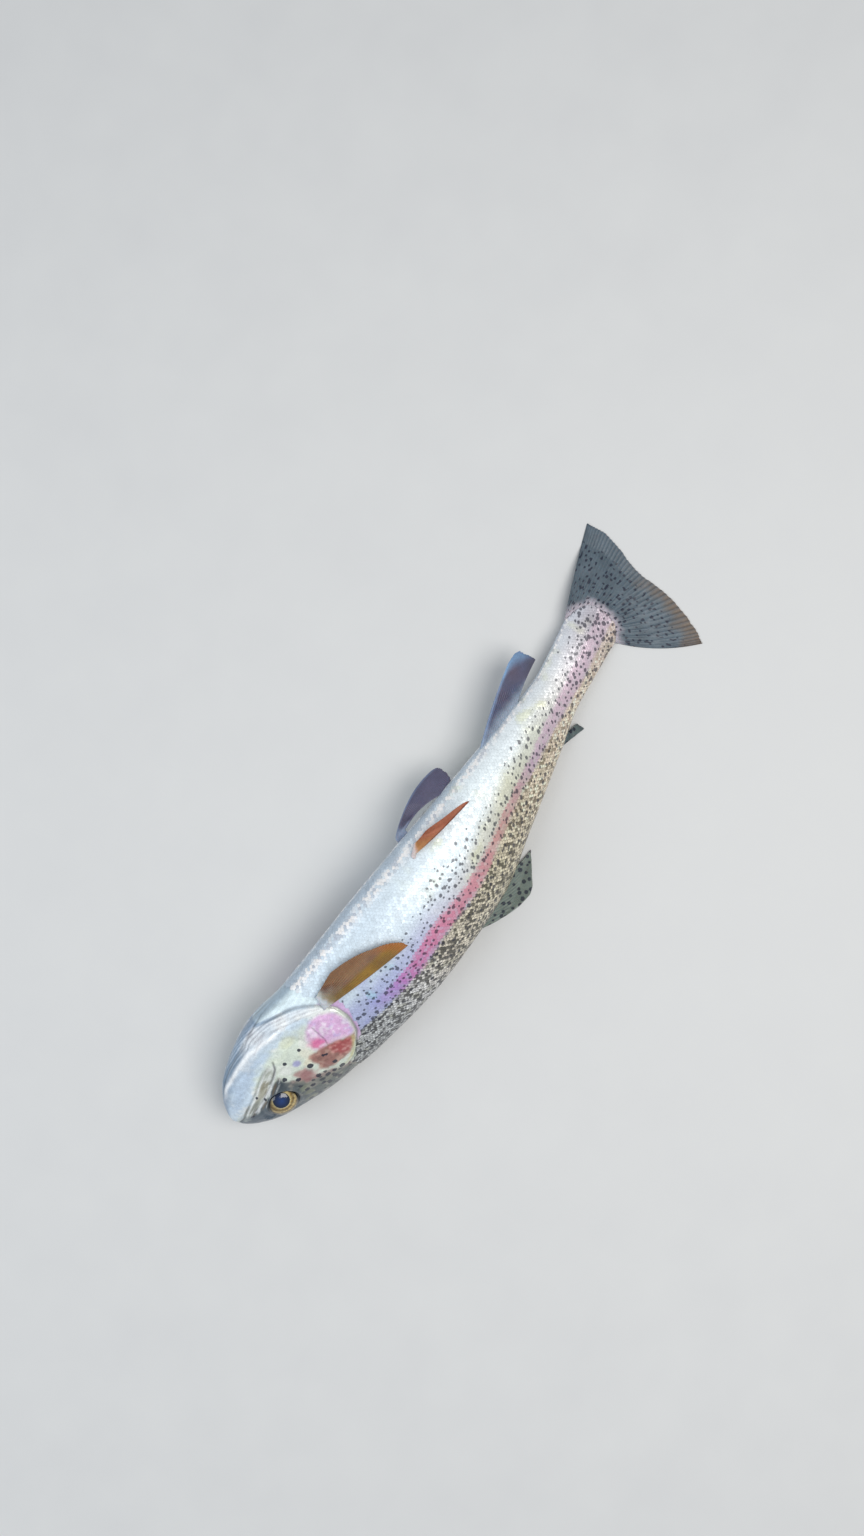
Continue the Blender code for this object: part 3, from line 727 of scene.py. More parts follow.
def body_colour(s, lat, point, tone, face):
    """The scaled skin's colour. tone is 0 to 1 for each scale; face is 0 at its dark rim, 1 on its face."""
    above = over_line(s, lat, STRIPE)
    width = along(s, STRIPE_HALF_WIDTHS)
    slow = ripple(point, 9.0, 51)
    quick = ripple(point, 3.0, 52)
    edge = bump(lat + 74, 7)
    tint = fade(slow + 0.4 * quick, 0.15, 0.9) * fade(above, -2, -7)
    colour = paint(
        colours_along(s, BELLY),
        (colours_along(s, FLANK), fade(above + 1.5 * slow, -15, -5)),
        ("E0E2A8", 0.4 * tint * fade(s, 120, 150)),
        ("AEB0F0", 0.6 * fade(slow, 0, -0.8) * fade(s, 140, 95) * fade(above, -22, -12)),
        ("A4DDE6", 0.45 * fade(quick, 0.3, 1.0) * fade(s, 125, 100) * fade(above, -14, -8)),
        # painted glints and painted shade at the belly's edge, and painted shade on the belly's far side
        ("FFFBF8", edge * 0.95 * fade(tone, 0.35, 0.6)),
        ("B4B4C0", edge * 0.55 * fade(tone, 0.4, 0.2)),
        ("A9B9C9", 0.75 * fade(3 * quick - lat, 78, 85)),
    )
    # each scale's rim and face; on the back the bright faces are partly the scales' own pale tone, partly
    # painted glints
    colour = colour * (0.93 + 0.07 * face + 0.12 * (tone - 0.5))[..., None]
    bright = colours_along(s, BACK_GLINT) * (0.72 + 0.72 * tone[..., None])
    bright = mix(bright, "A5A68A", 0.4 * fade(quick, 0.2, 0.7))
    back = mix(colours_along(s, BACK_DARK), bright, face)
    stripe = mix(colours_along(s, STRIPE_BED), colours_along(s, STRIPE_FACE), 0.25 + 0.5 * face * tone)
    strength = fade(s, 74, 96) * (0.95 - 0.2 * fade(s, 190, 215)) * (0.7 + 0.3 * fade(1 - tone, 0.15, 0.5))
    inside = fade(width + 0.5 * quick + 0.9 * (tone - 0.5) - np.abs(above), -1.3, 0.7)
    colour = mix(colour, back, fade(above + 0.8 * quick, width - 0.8, width + 1.4))
    return np.clip(mix(colour, stripe, inside * strength * 0.9), 0, 1)


# Meshes ----------------------------------------------------------------------------------------------


def link(name, data):
    """A new object in the scene."""
    made = bpy.data.objects.new(name, data)
    bpy.context.scene.collection.objects.link(made)
    return made


def link_mesh(name, points, faces, finish, tint=None, sharp=None, bake_map=None, unrolled=None, **values):
    """A mesh object from world points in millimetres. faces is a list of arrays of 3 or 4 corners each.

    Values and tints that are given for one side of a plate go on its other side too.
    """
    points = points.reshape(-1, 3)
    corners = np.concatenate([face.reshape(-1) for face in faces])
    sizes = np.concatenate([np.full(len(face), face.shape[1]) for face in faces])
    starts = np.concatenate([[0], np.cumsum(sizes)[:-1]])
    mesh = bpy.data.meshes.new(name)
    mesh.vertices.add(len(points))
    mesh.vertices.foreach_set("co", ((points - OFFSET) * MM).astype(np.float32).ravel())
    mesh.loops.add(len(corners))
    mesh.loops.foreach_set("vertex_index", corners.astype(np.int32))
    mesh.polygons.add(len(sizes))
    mesh.polygons.foreach_set("loop_start", starts.astype(np.int32))
    mesh.update(calc_edges=True)
    layers = [(label, "FLOAT", "value", 1, given) for label, given in values.items()]
    if unrolled is not None:
        layers.append(("unrolled", "FLOAT_VECTOR", "vector", 3, unrolled))
    if tint is not None:
        layers.append(("tint", "FLOAT_COLOR", "color", 4, np.insert(tint.reshape(-1, 3), 3, 1.0, axis=1)))
    for label, kind, field, width, given in layers:
        layer = mesh.attributes.new(label, kind, "POINT")
        layer.data.foreach_set(field, np.resize(given, len(points) * width).astype(np.float32))
    if bake_map is not None:
        layer = mesh.uv_layers.new(name="OFBake")
        layer.uv.foreach_set("vector", bake_map(corners).astype(np.float32).ravel())
    mesh.shade_smooth()
    if sharp:
        mesh.set_sharp_from_angle(angle=math.radians(sharp))
    mesh.materials.append(finish)
    obj = link(name, mesh)
    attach(obj, "root")
    return obj


def grid_quads(rows, columns, wrap=False):
    """The quads of a grid of points, as an array of corners."""
    i, j = np.meshgrid(np.arange(rows - 1), np.arange(columns if wrap else columns - 1), indexing="ij")
    k = (j + 1) % columns
    quads = [i * columns + j, (i + 1) * columns + j, (i + 1) * columns + k, i * columns + k]
    return np.stack(quads, axis=-1).reshape(-1, 4)


def fan(centre, ring):
    """The triangles between a point and a closed ring of points."""
    return np.stack([np.full(len(ring), centre), ring, np.roll(ring, -1)], axis=-1)


def band(ring, other):
    """The quads between two closed rings of points."""
    return np.stack([ring, np.roll(ring, -1), np.roll(other, -1), other], axis=-1)


# Materials -------------------------------------------------------------------------------------------

GRAIN_DEPTH = 0.0002  # the depth of the finest relief, in metres
# The iris between its inner and its outer rim, as (share of the way, colour)
IRIS_STOPS = ((0.1, "F0D88E"), (0.3, "B8924A"), (0.48, "80643A"), (0.66, "E2C882"), (0.82, "CBA75E"))


class Nodes:
    """A material's node tree, built up call by call."""

    def __init__(self, name):
        self.material = bpy.data.materials.new(name)
        self.material.use_nodes = True
        self.tree = self.material.node_tree
        self.shader = self.tree.nodes["Principled BSDF"]

    def put(self, socket, value):
        if isinstance(value, bpy.types.NodeSocket):
            self.tree.links.new(value, socket)
        else:
            socket.default_value = value

    def node(self, kind, settings=(), numbered=(), **named):
        """A new node, with its inputs given by their number or by their name."""
        made = self.tree.nodes.new(kind)
        for key, value in dict(settings).items():
            setattr(made, key, value)
        for key, value in [*dict(numbered).items(), *named.items()]:
            self.put(made.inputs[key], value)
        return made

    def attribute(self, name, output="Fac"):
        return self.node("ShaderNodeAttribute", {"attribute_name": name}).outputs[output]

    def math(self, operation, a, b):
        return self.node("ShaderNodeMath", {"operation": operation}, {0: a, 1: b}).outputs[0]

    def times(self, a, b):
        return self.math("MULTIPLY", a, b)

    def plus(self, a, b):
        return self.math("ADD", a, b)

    def remap(self, value, low, high, to_low=0.0, to_high=1.0):
        numbered = dict(enumerate((value, low, high, to_low, to_high)))
        return self.node("ShaderNodeMapRange", (), numbered).outputs[0]

    def spread(self, noise, low, high):
        """The usual range of a noise, spread over another range."""
        return self.remap(noise, 0.3, 0.7, low, high)

    def blend(self, share, under, over, how="MIX"):
        settings = {"data_type": "RGBA", "blend_type": how}
        return self.node("ShaderNodeMix", settings, {0: share, 6: under, 7: over}).outputs[2]

    def shaded(self, *values):
        """The mesh's own colour times some grey values."""
        value = values[0]
        for other in values[1:]:
            value = self.times(value, other)
        grey = self.node("ShaderNodeCombineColor", Red=value, Green=value, Blue=value).outputs[0]
        return self.blend(1.0, self.attribute("tint", "Color"), grey, "MULTIPLY")

    def noise(self, scale, detail):
        where = self.tree.nodes.new("ShaderNodeTexCoord").outputs["Object"]
        settings = {"Vector": where, "Scale": scale, "Detail": detail, "Roughness": 0.6}
        return self.node("ShaderNodeTexNoise", **settings).outputs["Fac"]

    def bump(self, height, strength):
        made = self.node("ShaderNodeBump", Strength=strength, Distance=GRAIN_DEPTH, Height=height)
        self.put(self.shader.inputs["Normal"], made.outputs[0])

    def set(self, **values):
        for key, value in values.items():
            self.put(self.shader.inputs[key.replace("_", " ")], value)


def body_spots(made, fine):
    """1 in the small dark spots, scattered over the unrolled skin in two layers."""
    where = made.attribute("unrolled", "Vector")
    chance = made.attribute("chance")
    size = made.attribute("spot_size")
    found = 0.0
    for pitch, start in SPOT_LAYERS:
        moved = made.node("ShaderNodeVectorMath", {"operation": "ADD"}, {0: where, 1: (start, start, 0)})
        flat = {"voronoi_dimensions": "2D"}
        inputs = {"Vector": moved.outputs[0], "Scale": 1 / pitch, "Randomness": 0.85}
        cells = made.node("ShaderNodeTexVoronoi", flat, inputs)
        share = made.node("ShaderNodeSeparateColor", Color=cells.outputs["Color"])
        radius = made.times(made.remap(share.outputs[1], 0.0, 1.0, 0.13, 0.25), size)
        radius = made.plus(radius, made.spread(fine, -0.06, 0.05))
        edge = made.remap(made.math("SUBTRACT", radius, cells.outputs["Distance"]), -0.035, 0.035)
        present = made.math("LESS_THAN", share.outputs[0], chance)
        found = made.math("MAXIMUM", found, made.times(edge, present))
    return found


def skin_material(name, wet, grain, rim):
    """Wet skin: its colour and dark spots from the mesh, with fine speckle, glaze and grain from nodes."""
    made = Nodes(name)
    fine = made.noise(1500, 4)
    coarse = made.noise(320, 3)
    values = [made.spread(fine, 0.86, 1.12), made.spread(coarse, 0.93, 1.06)]
    if rim:
        values.append(made.remap(made.attribute("rim"), 0.6, 1.0, 1.02, 0.93))
    colour = made.shaded(*values)
    edge = made.plus(made.attribute("spot"), made.spread(fine, -0.12, 0.12))
    soft = made.times(body_spots(made, made.noise(700, 2)), 0.78)
    spot = made.math("MAXIMUM", made.remap(edge, 0.35, 0.65, 0.0, 0.94), soft)
    gleam = made.attribute("gleam")
    dull = made.math("SUBTRACT", 1.0, made.times(spot, 0.75))
    made.set(
        Base_Color=made.blend(spot, colour, rgba(SPOT_DARK)),
        Roughness=made.plus(made.remap(gleam, 0.0, 1.0, 0.46, 0.24), made.spread(coarse, -0.04, 0.06)),
        Metallic=made.times(made.times(gleam, 0.4), dull),
        Coat_Weight=wet,
        Coat_Roughness=0.12,
        Specular_IOR_Level=0.5,
    )
    made.bump(fine, grain)
    return made.material


def fin_material(name, warm):
    """A fin's membrane and rays: colours from the mesh, streaks along the rays and a wet glaze from nodes."""
    made = Nodes(name)
    fine = made.noise(1100, 4)
    coarse = made.noise(240, 3)
    ridge = made.attribute("ridge")
    colour = made.shaded(made.spread(fine, 0.88, 1.12), made.spread(coarse, 0.9, 1.08))
    edge = made.plus(made.attribute("spot"), made.spread(fine, -0.15, 0.15))
    made.set(
        Base_Color=made.blend(made.times(made.remap(edge, 0.35, 0.65), 0.85), colour, rgba(SPOT_DARK)),
        Roughness=made.remap(ridge, 0.0, 1.0, 0.55, 0.45),
        Coat_Weight=0.12,
        Coat_Roughness=0.2,
        Specular_IOR_Level=0.35,
        Subsurface_Weight=warm,
        Subsurface_Scale=0.002,
    )
    made.bump(made.plus(fine, made.times(ridge, 0.6)), 0.35)
    return made.material


def eye_material(name):
    """The eyeball: a black pupil with a painted blue reflection in its middle, in a gold iris with fine
    radial streaks, under a clear glaze.
    """
    made = Nodes(name)
    radius = made.attribute("radius")
    streak = made.attribute("streak")
    wobble = made.spread(made.noise(500, 3), -0.16, 0.16)
    share = made.remap(made.plus(radius, wobble), PUPIL_RADIUS, EYE_RADIUS)
    ring = made.node("ShaderNodeValToRGB", (), {0: share})
    stops = ring.color_ramp.elements
    stops[0].color = rgba("F3DE9C")
    stops[1].color = rgba("5D5238")
    for position, code in IRIS_STOPS:
        stops.new(position).color = rgba(code)
    iris = made.blend(made.remap(streak, 0.35, 0.75, 0.0, 0.5), ring.outputs[0], rgba("6B5430"))
    iris = made.blend(made.remap(made.noise(900, 4), 0.4, 0.75, 0.0, 0.45), iris, rgba("F6E7B4"))
    # painted shade on the iris, strongest on its lower front side and none on its upper rear side
    iris = made.blend(made.remap(made.attribute("glow"), 0.0, 1.0, 0.45, 0.0), iris, rgba("5A5248"))
    iris = made.blend(made.remap(made.plus(made.attribute("edge"), wobble), 5.6, 6.3), iris, rgba("1A1F26"))
    # the pupil: black at its rim, with a painted blue reflection in its middle
    pupil = made.blend(made.remap(radius, 0.0, PUPIL_RADIUS), rgba("1D3C74"), rgba("0A1222"))
    made.set(
        Base_Color=made.blend(made.remap(radius, PUPIL_RADIUS - 0.2, PUPIL_RADIUS + 0.05), pupil, iris),
        Roughness=made.remap(radius, PUPIL_RADIUS - 0.2, PUPIL_RADIUS + 0.2, 0.08, 0.28),
        Metallic=made.remap(radius, PUPIL_RADIUS, PUPIL_RADIUS + 0.3, 0.0, 0.55),
        Coat_Weight=1.0,
        Coat_Roughness=0.02,
        Coat_IOR=1.45,
    )
    made.bump(streak, 0.15)
    return made.material


# The skin and the scales -----------------------------------------------------------------------------


def skin_grid():
    """The stations and the angles of the skin's rings, which bend along the tail's root."""
    stations = [FIRST_RING]
    while stations[-1] < BODY_END:
        stations.append(stations[-1] + float(along(stations[-1], SPACING)))
    stations = np.array(stations) * BODY_END / stations[-1]
    angles = -math.pi / 2 + np.arange(AROUND) * TURN / AROUND
    s, angle = np.meshgrid(stations, angles, indexing="ij")
    share = np.clip((s - TAIL_BLEND) / (BODY_END - TAIL_BLEND), 0, 1)
    return s + share * (body_end(angle) - BODY_END), angle


def skin_values(s, angle, point):
    """Colour, spots and gleam of the bare and scaled skin, with the mean look of the scales."""
    lat = latitude(angle)
    scaled = is_scaled(s, lat)
    middle = 0.5 + 0.3 * ripple(point, 0.8, 61)
    body = body_colour(s, lat, point, middle, fade(middle, 0.3, 1.0))
    head = shoulder_colour(s, lat, head_colour(s, lat, point))
    # painted shade in the mouth, the gill opening and the seams between the head's plates
    head = mix(head, "1E1A1E", 0.85 * crease_shade(s, lat))
    spot = (1 - scaled) * head_spots(s, lat, point)
    return mix(head, body, scaled), spot, 0.25 + 0.35 * cover_mask(s, lat) + 0.2 * scaled


def add_skin():
    """One skin from the snout to the tail's root, closed by a fan at the snout and a cap at the tail."""
    s, angle = skin_grid()
    point, out = skin_frame(s, angle)
    skin = point + out * relief(s, angle)[..., None]
    tip = place(0.0, 0.0, 0.0)[None] + np.array([[HEAD_INSET, 0, 0]])
    quads = grid_quads(len(s), AROUND, wrap=True)[:, ::-1]
    snout = fan(s.size, np.arange(AROUND))[:, ::-1]
    # the cap over the last ring: quads across it, and a triangle at either end
    last = s.size - AROUND
    half = AROUND // 2
    k = np.arange(1, half - 1)
    cap = np.stack([last + k, last + k + 1, last + AROUND - k - 1, last + AROUND - k], axis=-1)
    ends = np.array([[0, 1, AROUND - 1], [half - 1, half, half + 1]]) + last
    u = np.append(np.interp(s, (0, 80, BODY_END), (0.01, 0.5, 0.99)), 0.005)
    v = np.append((angle + math.pi / 2) / TURN, 0.5)

    def bake_map(corners):
        uv = np.stack([u[corners], v[corners]], axis=-1)
        wrapped = uv[: quads.size].reshape(-1, 4, 2)
        jump = np.ptp(wrapped[..., 1], axis=1) > 0.5
        wrapped[jump, :, 1] += wrapped[jump, :, 1] < 0.5
        uv[:, 1] = 0.005 + 0.99 * uv[:, 1]
        return uv

    tint, spot, gleam = skin_values(s, angle, point)
    unrolled, chance, spot_size = spot_layers(s, angle)
    piece = link_mesh(
        "skin",
        np.vstack([skin.reshape(-1, 3), tip]),
        [quads, snout, ends, cap],
        skin_material("wet_skin", 0.45, 0.3, False),
        tint=np.vstack([tint.reshape(-1, 3), tint[0, :1]]),
        bake_map=bake_map,
        unrolled=np.append(unrolled, [0, 0, 0]),
        spot=np.append(spot, 0),
        gleam=np.append(gleam, 0.3),
        chance=np.append(chance, 0),
        spot_size=np.append(spot_size, 1),
    )
    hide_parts("head", "lower_jaw", "gill_cover_right", "gill_cover_left", "trunk", "tail_stalk")


def scale_roots():
    """Where each scale grows: station, angle, how its row turns, its size, and its row on its side."""
    roots = []
    s = float(min(station for _, station in SCALES_BEGIN))
    column = 0
    lats = np.linspace(-90, 90, 361)
    while s < BODY_END:
        size = float(along(s, SCALE_SIZES))
        here = arc(s + 0 * lats, lats)
        there = arc(s + 1.0 + 0 * lats, lats)
        pitch = SCALE_PITCH * size
        ahead = SCALE_PITCH * float(along(s + 1.0, SCALE_SIZES))
        reach = int(max(-here[0], here[-1]) / pitch) + 1
        rows = np.arange(-reach, reach + 1)
        rows = rows[(rows + column) % 2 == 0]
        rows = rows[(rows * pitch > here[0] - 0.3 * pitch) & (rows * pitch < here[-1] + 0.3 * pitch)]
        lat = np.interp(rows * pitch, here, lats)
        turn = np.radians(np.interp(rows * ahead, there, lats) - lat)
        for side, angle in ((1, np.radians(lat)), (-1, math.pi - np.radians(lat))):
            roots.append(np.stack(np.broadcast_arrays(s, angle, side * turn, size, rows), axis=-1))
        s += SCALE_SPACING * size
        column += 1
    roots = np.concatenate(roots)
    keep = behind_line(roots[:, 0], latitude(roots[:, 1]), SCALES_BEGIN) > 0
    return roots[keep & (roots[:, 0] < body_end(roots[:, 1]) - 0.8)]


def scale_shape():
    """One scale's corners as (rearwards, across, share of the way to the rim, is underneath), and faces."""
    turned = (np.arange(SCALE_SIDES) + 0.5) * TURN / SCALE_SIDES
    turned = turned - 0.42 * np.sin(turned)
    cos, sin = np.cos(turned), np.sin(turned)
    blunt = np.sign(sin) * np.abs(sin) ** 0.85
    rows = [np.array([[0.1, 0.0, 0.0, 0.0]])]
    for share, under in ((0.62, 0), (1.0, 0), (0.9, 1)):
        rows.append(np.stack([share * cos, share * blunt, 0 * cos + share, 0 * cos + under], axis=-1))
    n = SCALE_SIDES
    inner = 1 + np.arange(n)
    quads = [band(ring, ring + n)[:, [0, 3, 2, 1]] for ring in (inner, inner + n)]
    bottom = inner + 2 * n
    under = np.stack([np.full(n - 2, bottom[0]), bottom[2:], bottom[1:-1]], axis=-1)
    return np.vstack(rows), np.vstack([fan(0, inner), under]), np.vstack(quads)


def add_scales():
    """The coat: domed plates with a raised rear edge, each with its own tone, joined in a few pieces."""
    roots = scale_roots()
    rng = np.random.default_rng(7)
    jitter = rng.normal(size=(len(roots), 4)).clip(-2, 2)
    tones = rng.random((len(roots), 1))
    chances = rng.random((len(roots), 1))
    shape, tris, quads = scale_shape()
    x, y, rim, under = shape.T
    finish = skin_material("wet_scales", 0.3, 0.18, True)
    for number, chosen in enumerate(np.array_split(np.arange(len(roots)), COAT_PIECES), 1):
        s0, angle0, turn, size, row = roots[chosen].T[..., None]
        lean, roll, swing, thick = jitter[chosen].T[..., None]
        lat0 = latitude(angle0)
        # its place and its shape
        x_mm = size * SCALE_HALF_LENGTH * (1 + 0.04 * thick) * (x + 0.12)
        y_mm = size * SCALE_HALF_WIDTH * y + 0.05 * swing * x_mm
        angle = angle0 + turn * x_mm + y_mm / speed(s0, lat0)
        s = np.minimum(s0 + x_mm, body_end(angle) + 0.2)
        soft = 0.45 + 0.55 * fade(lat0, -60, -10)
        lift = SCALE_SLOPE * x - SCALE_DOME * rim**2 + 0.018 * lean * x + 0.030 * roll * y
        lift = SCALE_LIFT + soft * lift + 0.05 * (row == 0) * (rim < 0.5)
        lift = np.clip(lift - SCALE_THICKNESS * under, 0.0, COAT_HEIGHT)
        point, out = skin_frame(s, angle)
        # its colour and gleam; on the back a bright face is partly the scale's own pale tone and partly
        # painted glints
        tone = tones[chosen]
        clear = fade(chances[chosen] - 0.32 + 0.16 * fade(s0, 150, 240), -0.06, 0.06)
        face = (0.12 + 0.88 * clear) * (1 - 0.75 * fade(rim, 0.62, 1.0))
        root = place(*surface(s0, angle0))
        bed, bright = (body_colour(s0, lat0, root, tone, bare + 0 * lat0) for bare in (0.0, 1.0))
        gleam = (0.35 + 0.6 * (tone - 0.5) + 0.3 * fade(lat0, -30, 10)) * (0.3 + 0.7 * face)
        # its patch in the map for baking
        nudge = PATCH / 2 * np.where(under > 0.5, 0.5, 1.0)
        u = 0.01 + 0.98 * (s0 - s0.min()) / np.ptp(s0) + x * nudge
        v = 0.01 + 0.98 * ((angle0 + math.pi / 2) / TURN % 1.0) + y * nudge
        patches = np.stack([u, v], axis=-1).reshape(-1, 2)
        unrolled, chance, spot_size = spot_layers(s, angle)
        first = (np.arange(len(chosen)) * len(shape))[:, None, None]
        piece = link_mesh(
            f"scales_{number}",
            point + out * (lift - SCALED_INSET)[..., None],
            [(tris + first).reshape(-1, 3), (quads + first).reshape(-1, 4)],
            finish,
            tint=mix(bed, bright, face),
            sharp=50,
            bake_map=lambda corners, patches=patches: patches[corners],
            unrolled=unrolled,
            chance=chance,
            spot_size=spot_size,
            gleam=np.clip(gleam, 0, 1),
            rim=rim,
        )


# The eyes --------------------------------------------------------------------------------------------


def eye_point(s, up, depth, side):
    """World millimetres of a spot of the eyeball, the given depth out from the ball's middle."""
    cheek = float(surface(EYE_STATION, math.asin(EYE_HEIGHT / float(half_depth(EYE_STATION))))[2])
    return place(s, up, side * (cheek + EYE_PROUD - EYE_DEPTH + depth))


def add_eye(name, side, finish):
    """The eyeball's front, flattened as in the solids, with a lens that bulges out of the pupil."""
    tilts = np.linspace(0, 0.62 * math.pi, EYE_STEPS)[1:]
    tilt, turned = np.meshgrid(tilts, np.arange(EYE_SIDES) * TURN / EYE_SIDES, indexing="ij")
    flat_s = (EYE_RADIUS - EYE_INSET) * np.sin(tilt) * np.cos(turned)
    flat_up = (EYE_RADIUS - EYE_INSET) * np.sin(tilt) * np.sin(turned)
    off = np.hypot(flat_s - PUPIL_BACK, flat_up + PUPIL_DROP)
    sunk = 0.30 * fade(off, PUPIL_RADIUS - 0.4, PUPIL_RADIUS + 0.5) * fade(np.sin(tilt), 0.97, 0.8)
    depth = (EYE_DEPTH - EYE_INSET - sunk) * np.cos(tilt)
    points = eye_point(EYE_STATION + flat_s, EYE_HEIGHT + flat_up, depth, side).reshape(-1, 3)
    pole = eye_point(EYE_STATION, EYE_HEIGHT, EYE_DEPTH - EYE_INSET, side)
    back = eye_point(EYE_STATION, EYE_HEIGHT, -0.6 * EYE_DEPTH, side)
    ring = np.arange(EYE_SIDES)
    rear = fan(tilt.size + 1, tilt.size - EYE_SIDES + ring)[:, [0, 2, 1]]
    faces = [np.vstack([fan(tilt.size, ring), rear]), grid_quads(len(tilts), EYE_SIDES, wrap=True)]
    angle = np.arctan2(flat_up + PUPIL_DROP, flat_s - PUPIL_BACK).reshape(-1)
    rng = np.random.default_rng(17)
    streak = 0.5 + 0.0 * angle
    for count in (17, 29, 43, 61):
        streak += 0.16 * np.sin(count * angle + rng.uniform(0, TURN))
    eye = link_mesh(
        "eyeball_" + name,
        np.vstack([points, pole, back]),
        faces if side > 0 else [face[:, ::-1] for face in faces],
        finish,
        radius=np.append(off, [0.9, 9.0]),
        edge=np.append(np.hypot(flat_s, flat_up), [0.0, 9.0]),
        streak=np.append(streak, [0.5, 0.5]),
        # where the painted shade on the iris falls: 1 on its upper rear side
        glow=np.append(0.5 + 0.5 * np.cos(angle - math.radians(50)), [0.5, 0.5]),
    )
    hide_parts("eye_" + name)


def add_eyelid(name, side, finish):
    """The soft round edge of skin between the eyeball and the cheek."""
    turns = np.arange(EYE_SIDES) * TURN / EYE_SIDES
    share, turned = np.meshgrid(np.linspace(0, 1, LID_STEPS), turns, indexing="ij")
    wide = LID_INNER + (LID_OUTER - LID_INNER) * share
    s = EYE_STATION + wide * np.cos(turned)
    up = EYE_HEIGHT + wide * np.sin(turned)
    angle = np.arcsin(np.clip(up / half_depth(s), -1, 1))
    angle = angle if side > 0 else math.pi - angle
    skin, out = skin_frame(s, angle)
    skin = skin - out * (HEAD_INSET - 0.12 + 0.45 * share**2)[..., None]
    depth = (EYE_DEPTH - 2 * EYE_INSET) * np.sqrt(np.clip(1 - (wide / EYE_RADIUS) ** 2, 0.02, 1))
    arch = np.sin(math.pi * share)
    top = mix(eye_point(s, up, depth, side), skin, fade(share, 0.0, 0.45))
    top = top + out * (0.22 * arch**0.8)[..., None]
    low = top - out * (0.25 + 1.2 * arch**0.5)[..., None]
    quads = grid_quads(LID_STEPS, EYE_SIDES, wrap=True)
    ring = np.arange(EYE_SIDES)
    outer = share.size - EYE_SIDES + ring
    rims = [band(ring, share.size + ring), band(outer, share.size + outer)[:, [1, 0, 3, 2]]]
    faces = np.vstack([quads, share.size + quads[:, ::-1], *rims])
    tint, _, gleam = skin_values(s, angle, skin)
    lid = link_mesh(
        "eyelid_" + name,
        np.stack([top, low]),
        [faces if side > 0 else faces[:, ::-1]],
        finish,
        tint=mix(tint, "2E353B", 0.85 * fade(share, 0.75, 0.1)),
        sharp=60,
        spot=np.zeros(1),
        gleam=gleam,
    )


# The fins --------------------------------------------------------------------------------------------


def caudal_ray(r, t):
    """The spread tail fin: 0 is its upper edge, 1 its lower edge."""
    angle = math.pi / 2 * (1 - 2 * r)
    across = np.sin(angle)
    root, up, _ = surface(body_end(angle), angle)
    bow = TAIL_BOW * np.maximum(across, 0) * (0.5 - t)
    lean = np.radians(smooth(across, (-1, 0, 1), TAIL_FAN) + bow)
    lower, middle, upper = TAIL_LENGTHS
    length = middle + (np.where(across > 0, upper, lower) - middle) * across**2
    return root + GAP + t * length * np.cos(lean), up + t * length * np.sin(lean), 0.0 * r * t, root


def median_ray(r, t, fin):
    """The dorsal, adipose or anal fin, whose rays stand on the edge of the back or the belly."""
    edge, (first, last), leans, lay_down, lengths = fin
    base = first + (last - first) * r
    lean = np.radians(smooth(r, (0, 0.5, 1), leans) - lay_down * t)
    reach = smooth(r, RAY_SHARES, lengths) * t
    up = half_depth(base) + GAP + reach * np.sin(lean)
    return base + reach * np.cos(lean), edge * up, 0.0 * up, base


def paired_ray(r, t, fin, side):
    """A pectoral or pelvic fin, whose rays lean from the body's long axis by its fan."""
    ((front_s, front_angle), (rear_s, rear_angle)), fan_ways, bow, lengths = fin
    station = front_s + (rear_s - front_s) * r
    angle = np.radians(front_angle + (rear_angle - front_angle) * r)
    root = surface(station, angle if side > 0 else math.pi - angle, ROOT_LIFT)
    first, last = (unit(np.array(way)) for way in fan_ways)
    way = first + (last - first) * r[..., None]
    way[..., 1] += bow * (t - 0.5)
    reach = np.moveaxis((smooth(r, RAY_SHARES, lengths) * t)[..., None] * unit(way), -1, 0)
    return root[0] + reach[0], root[1] + reach[1], root[2] + side * reach[2], station


def ray_ridge(r, t, rays):
    """1 on a fin's rays and 0 on the membrane between. Each ray forks on its way out."""
    phase = np.abs((r * rays) % 1.0 - 0.5)
    fork = fade(t, 0.38, 0.62)
    return np.clip(bump(phase, 0.17) * (1 - fork) + bump(phase - 0.24, 0.12) * fork, 0, 1)


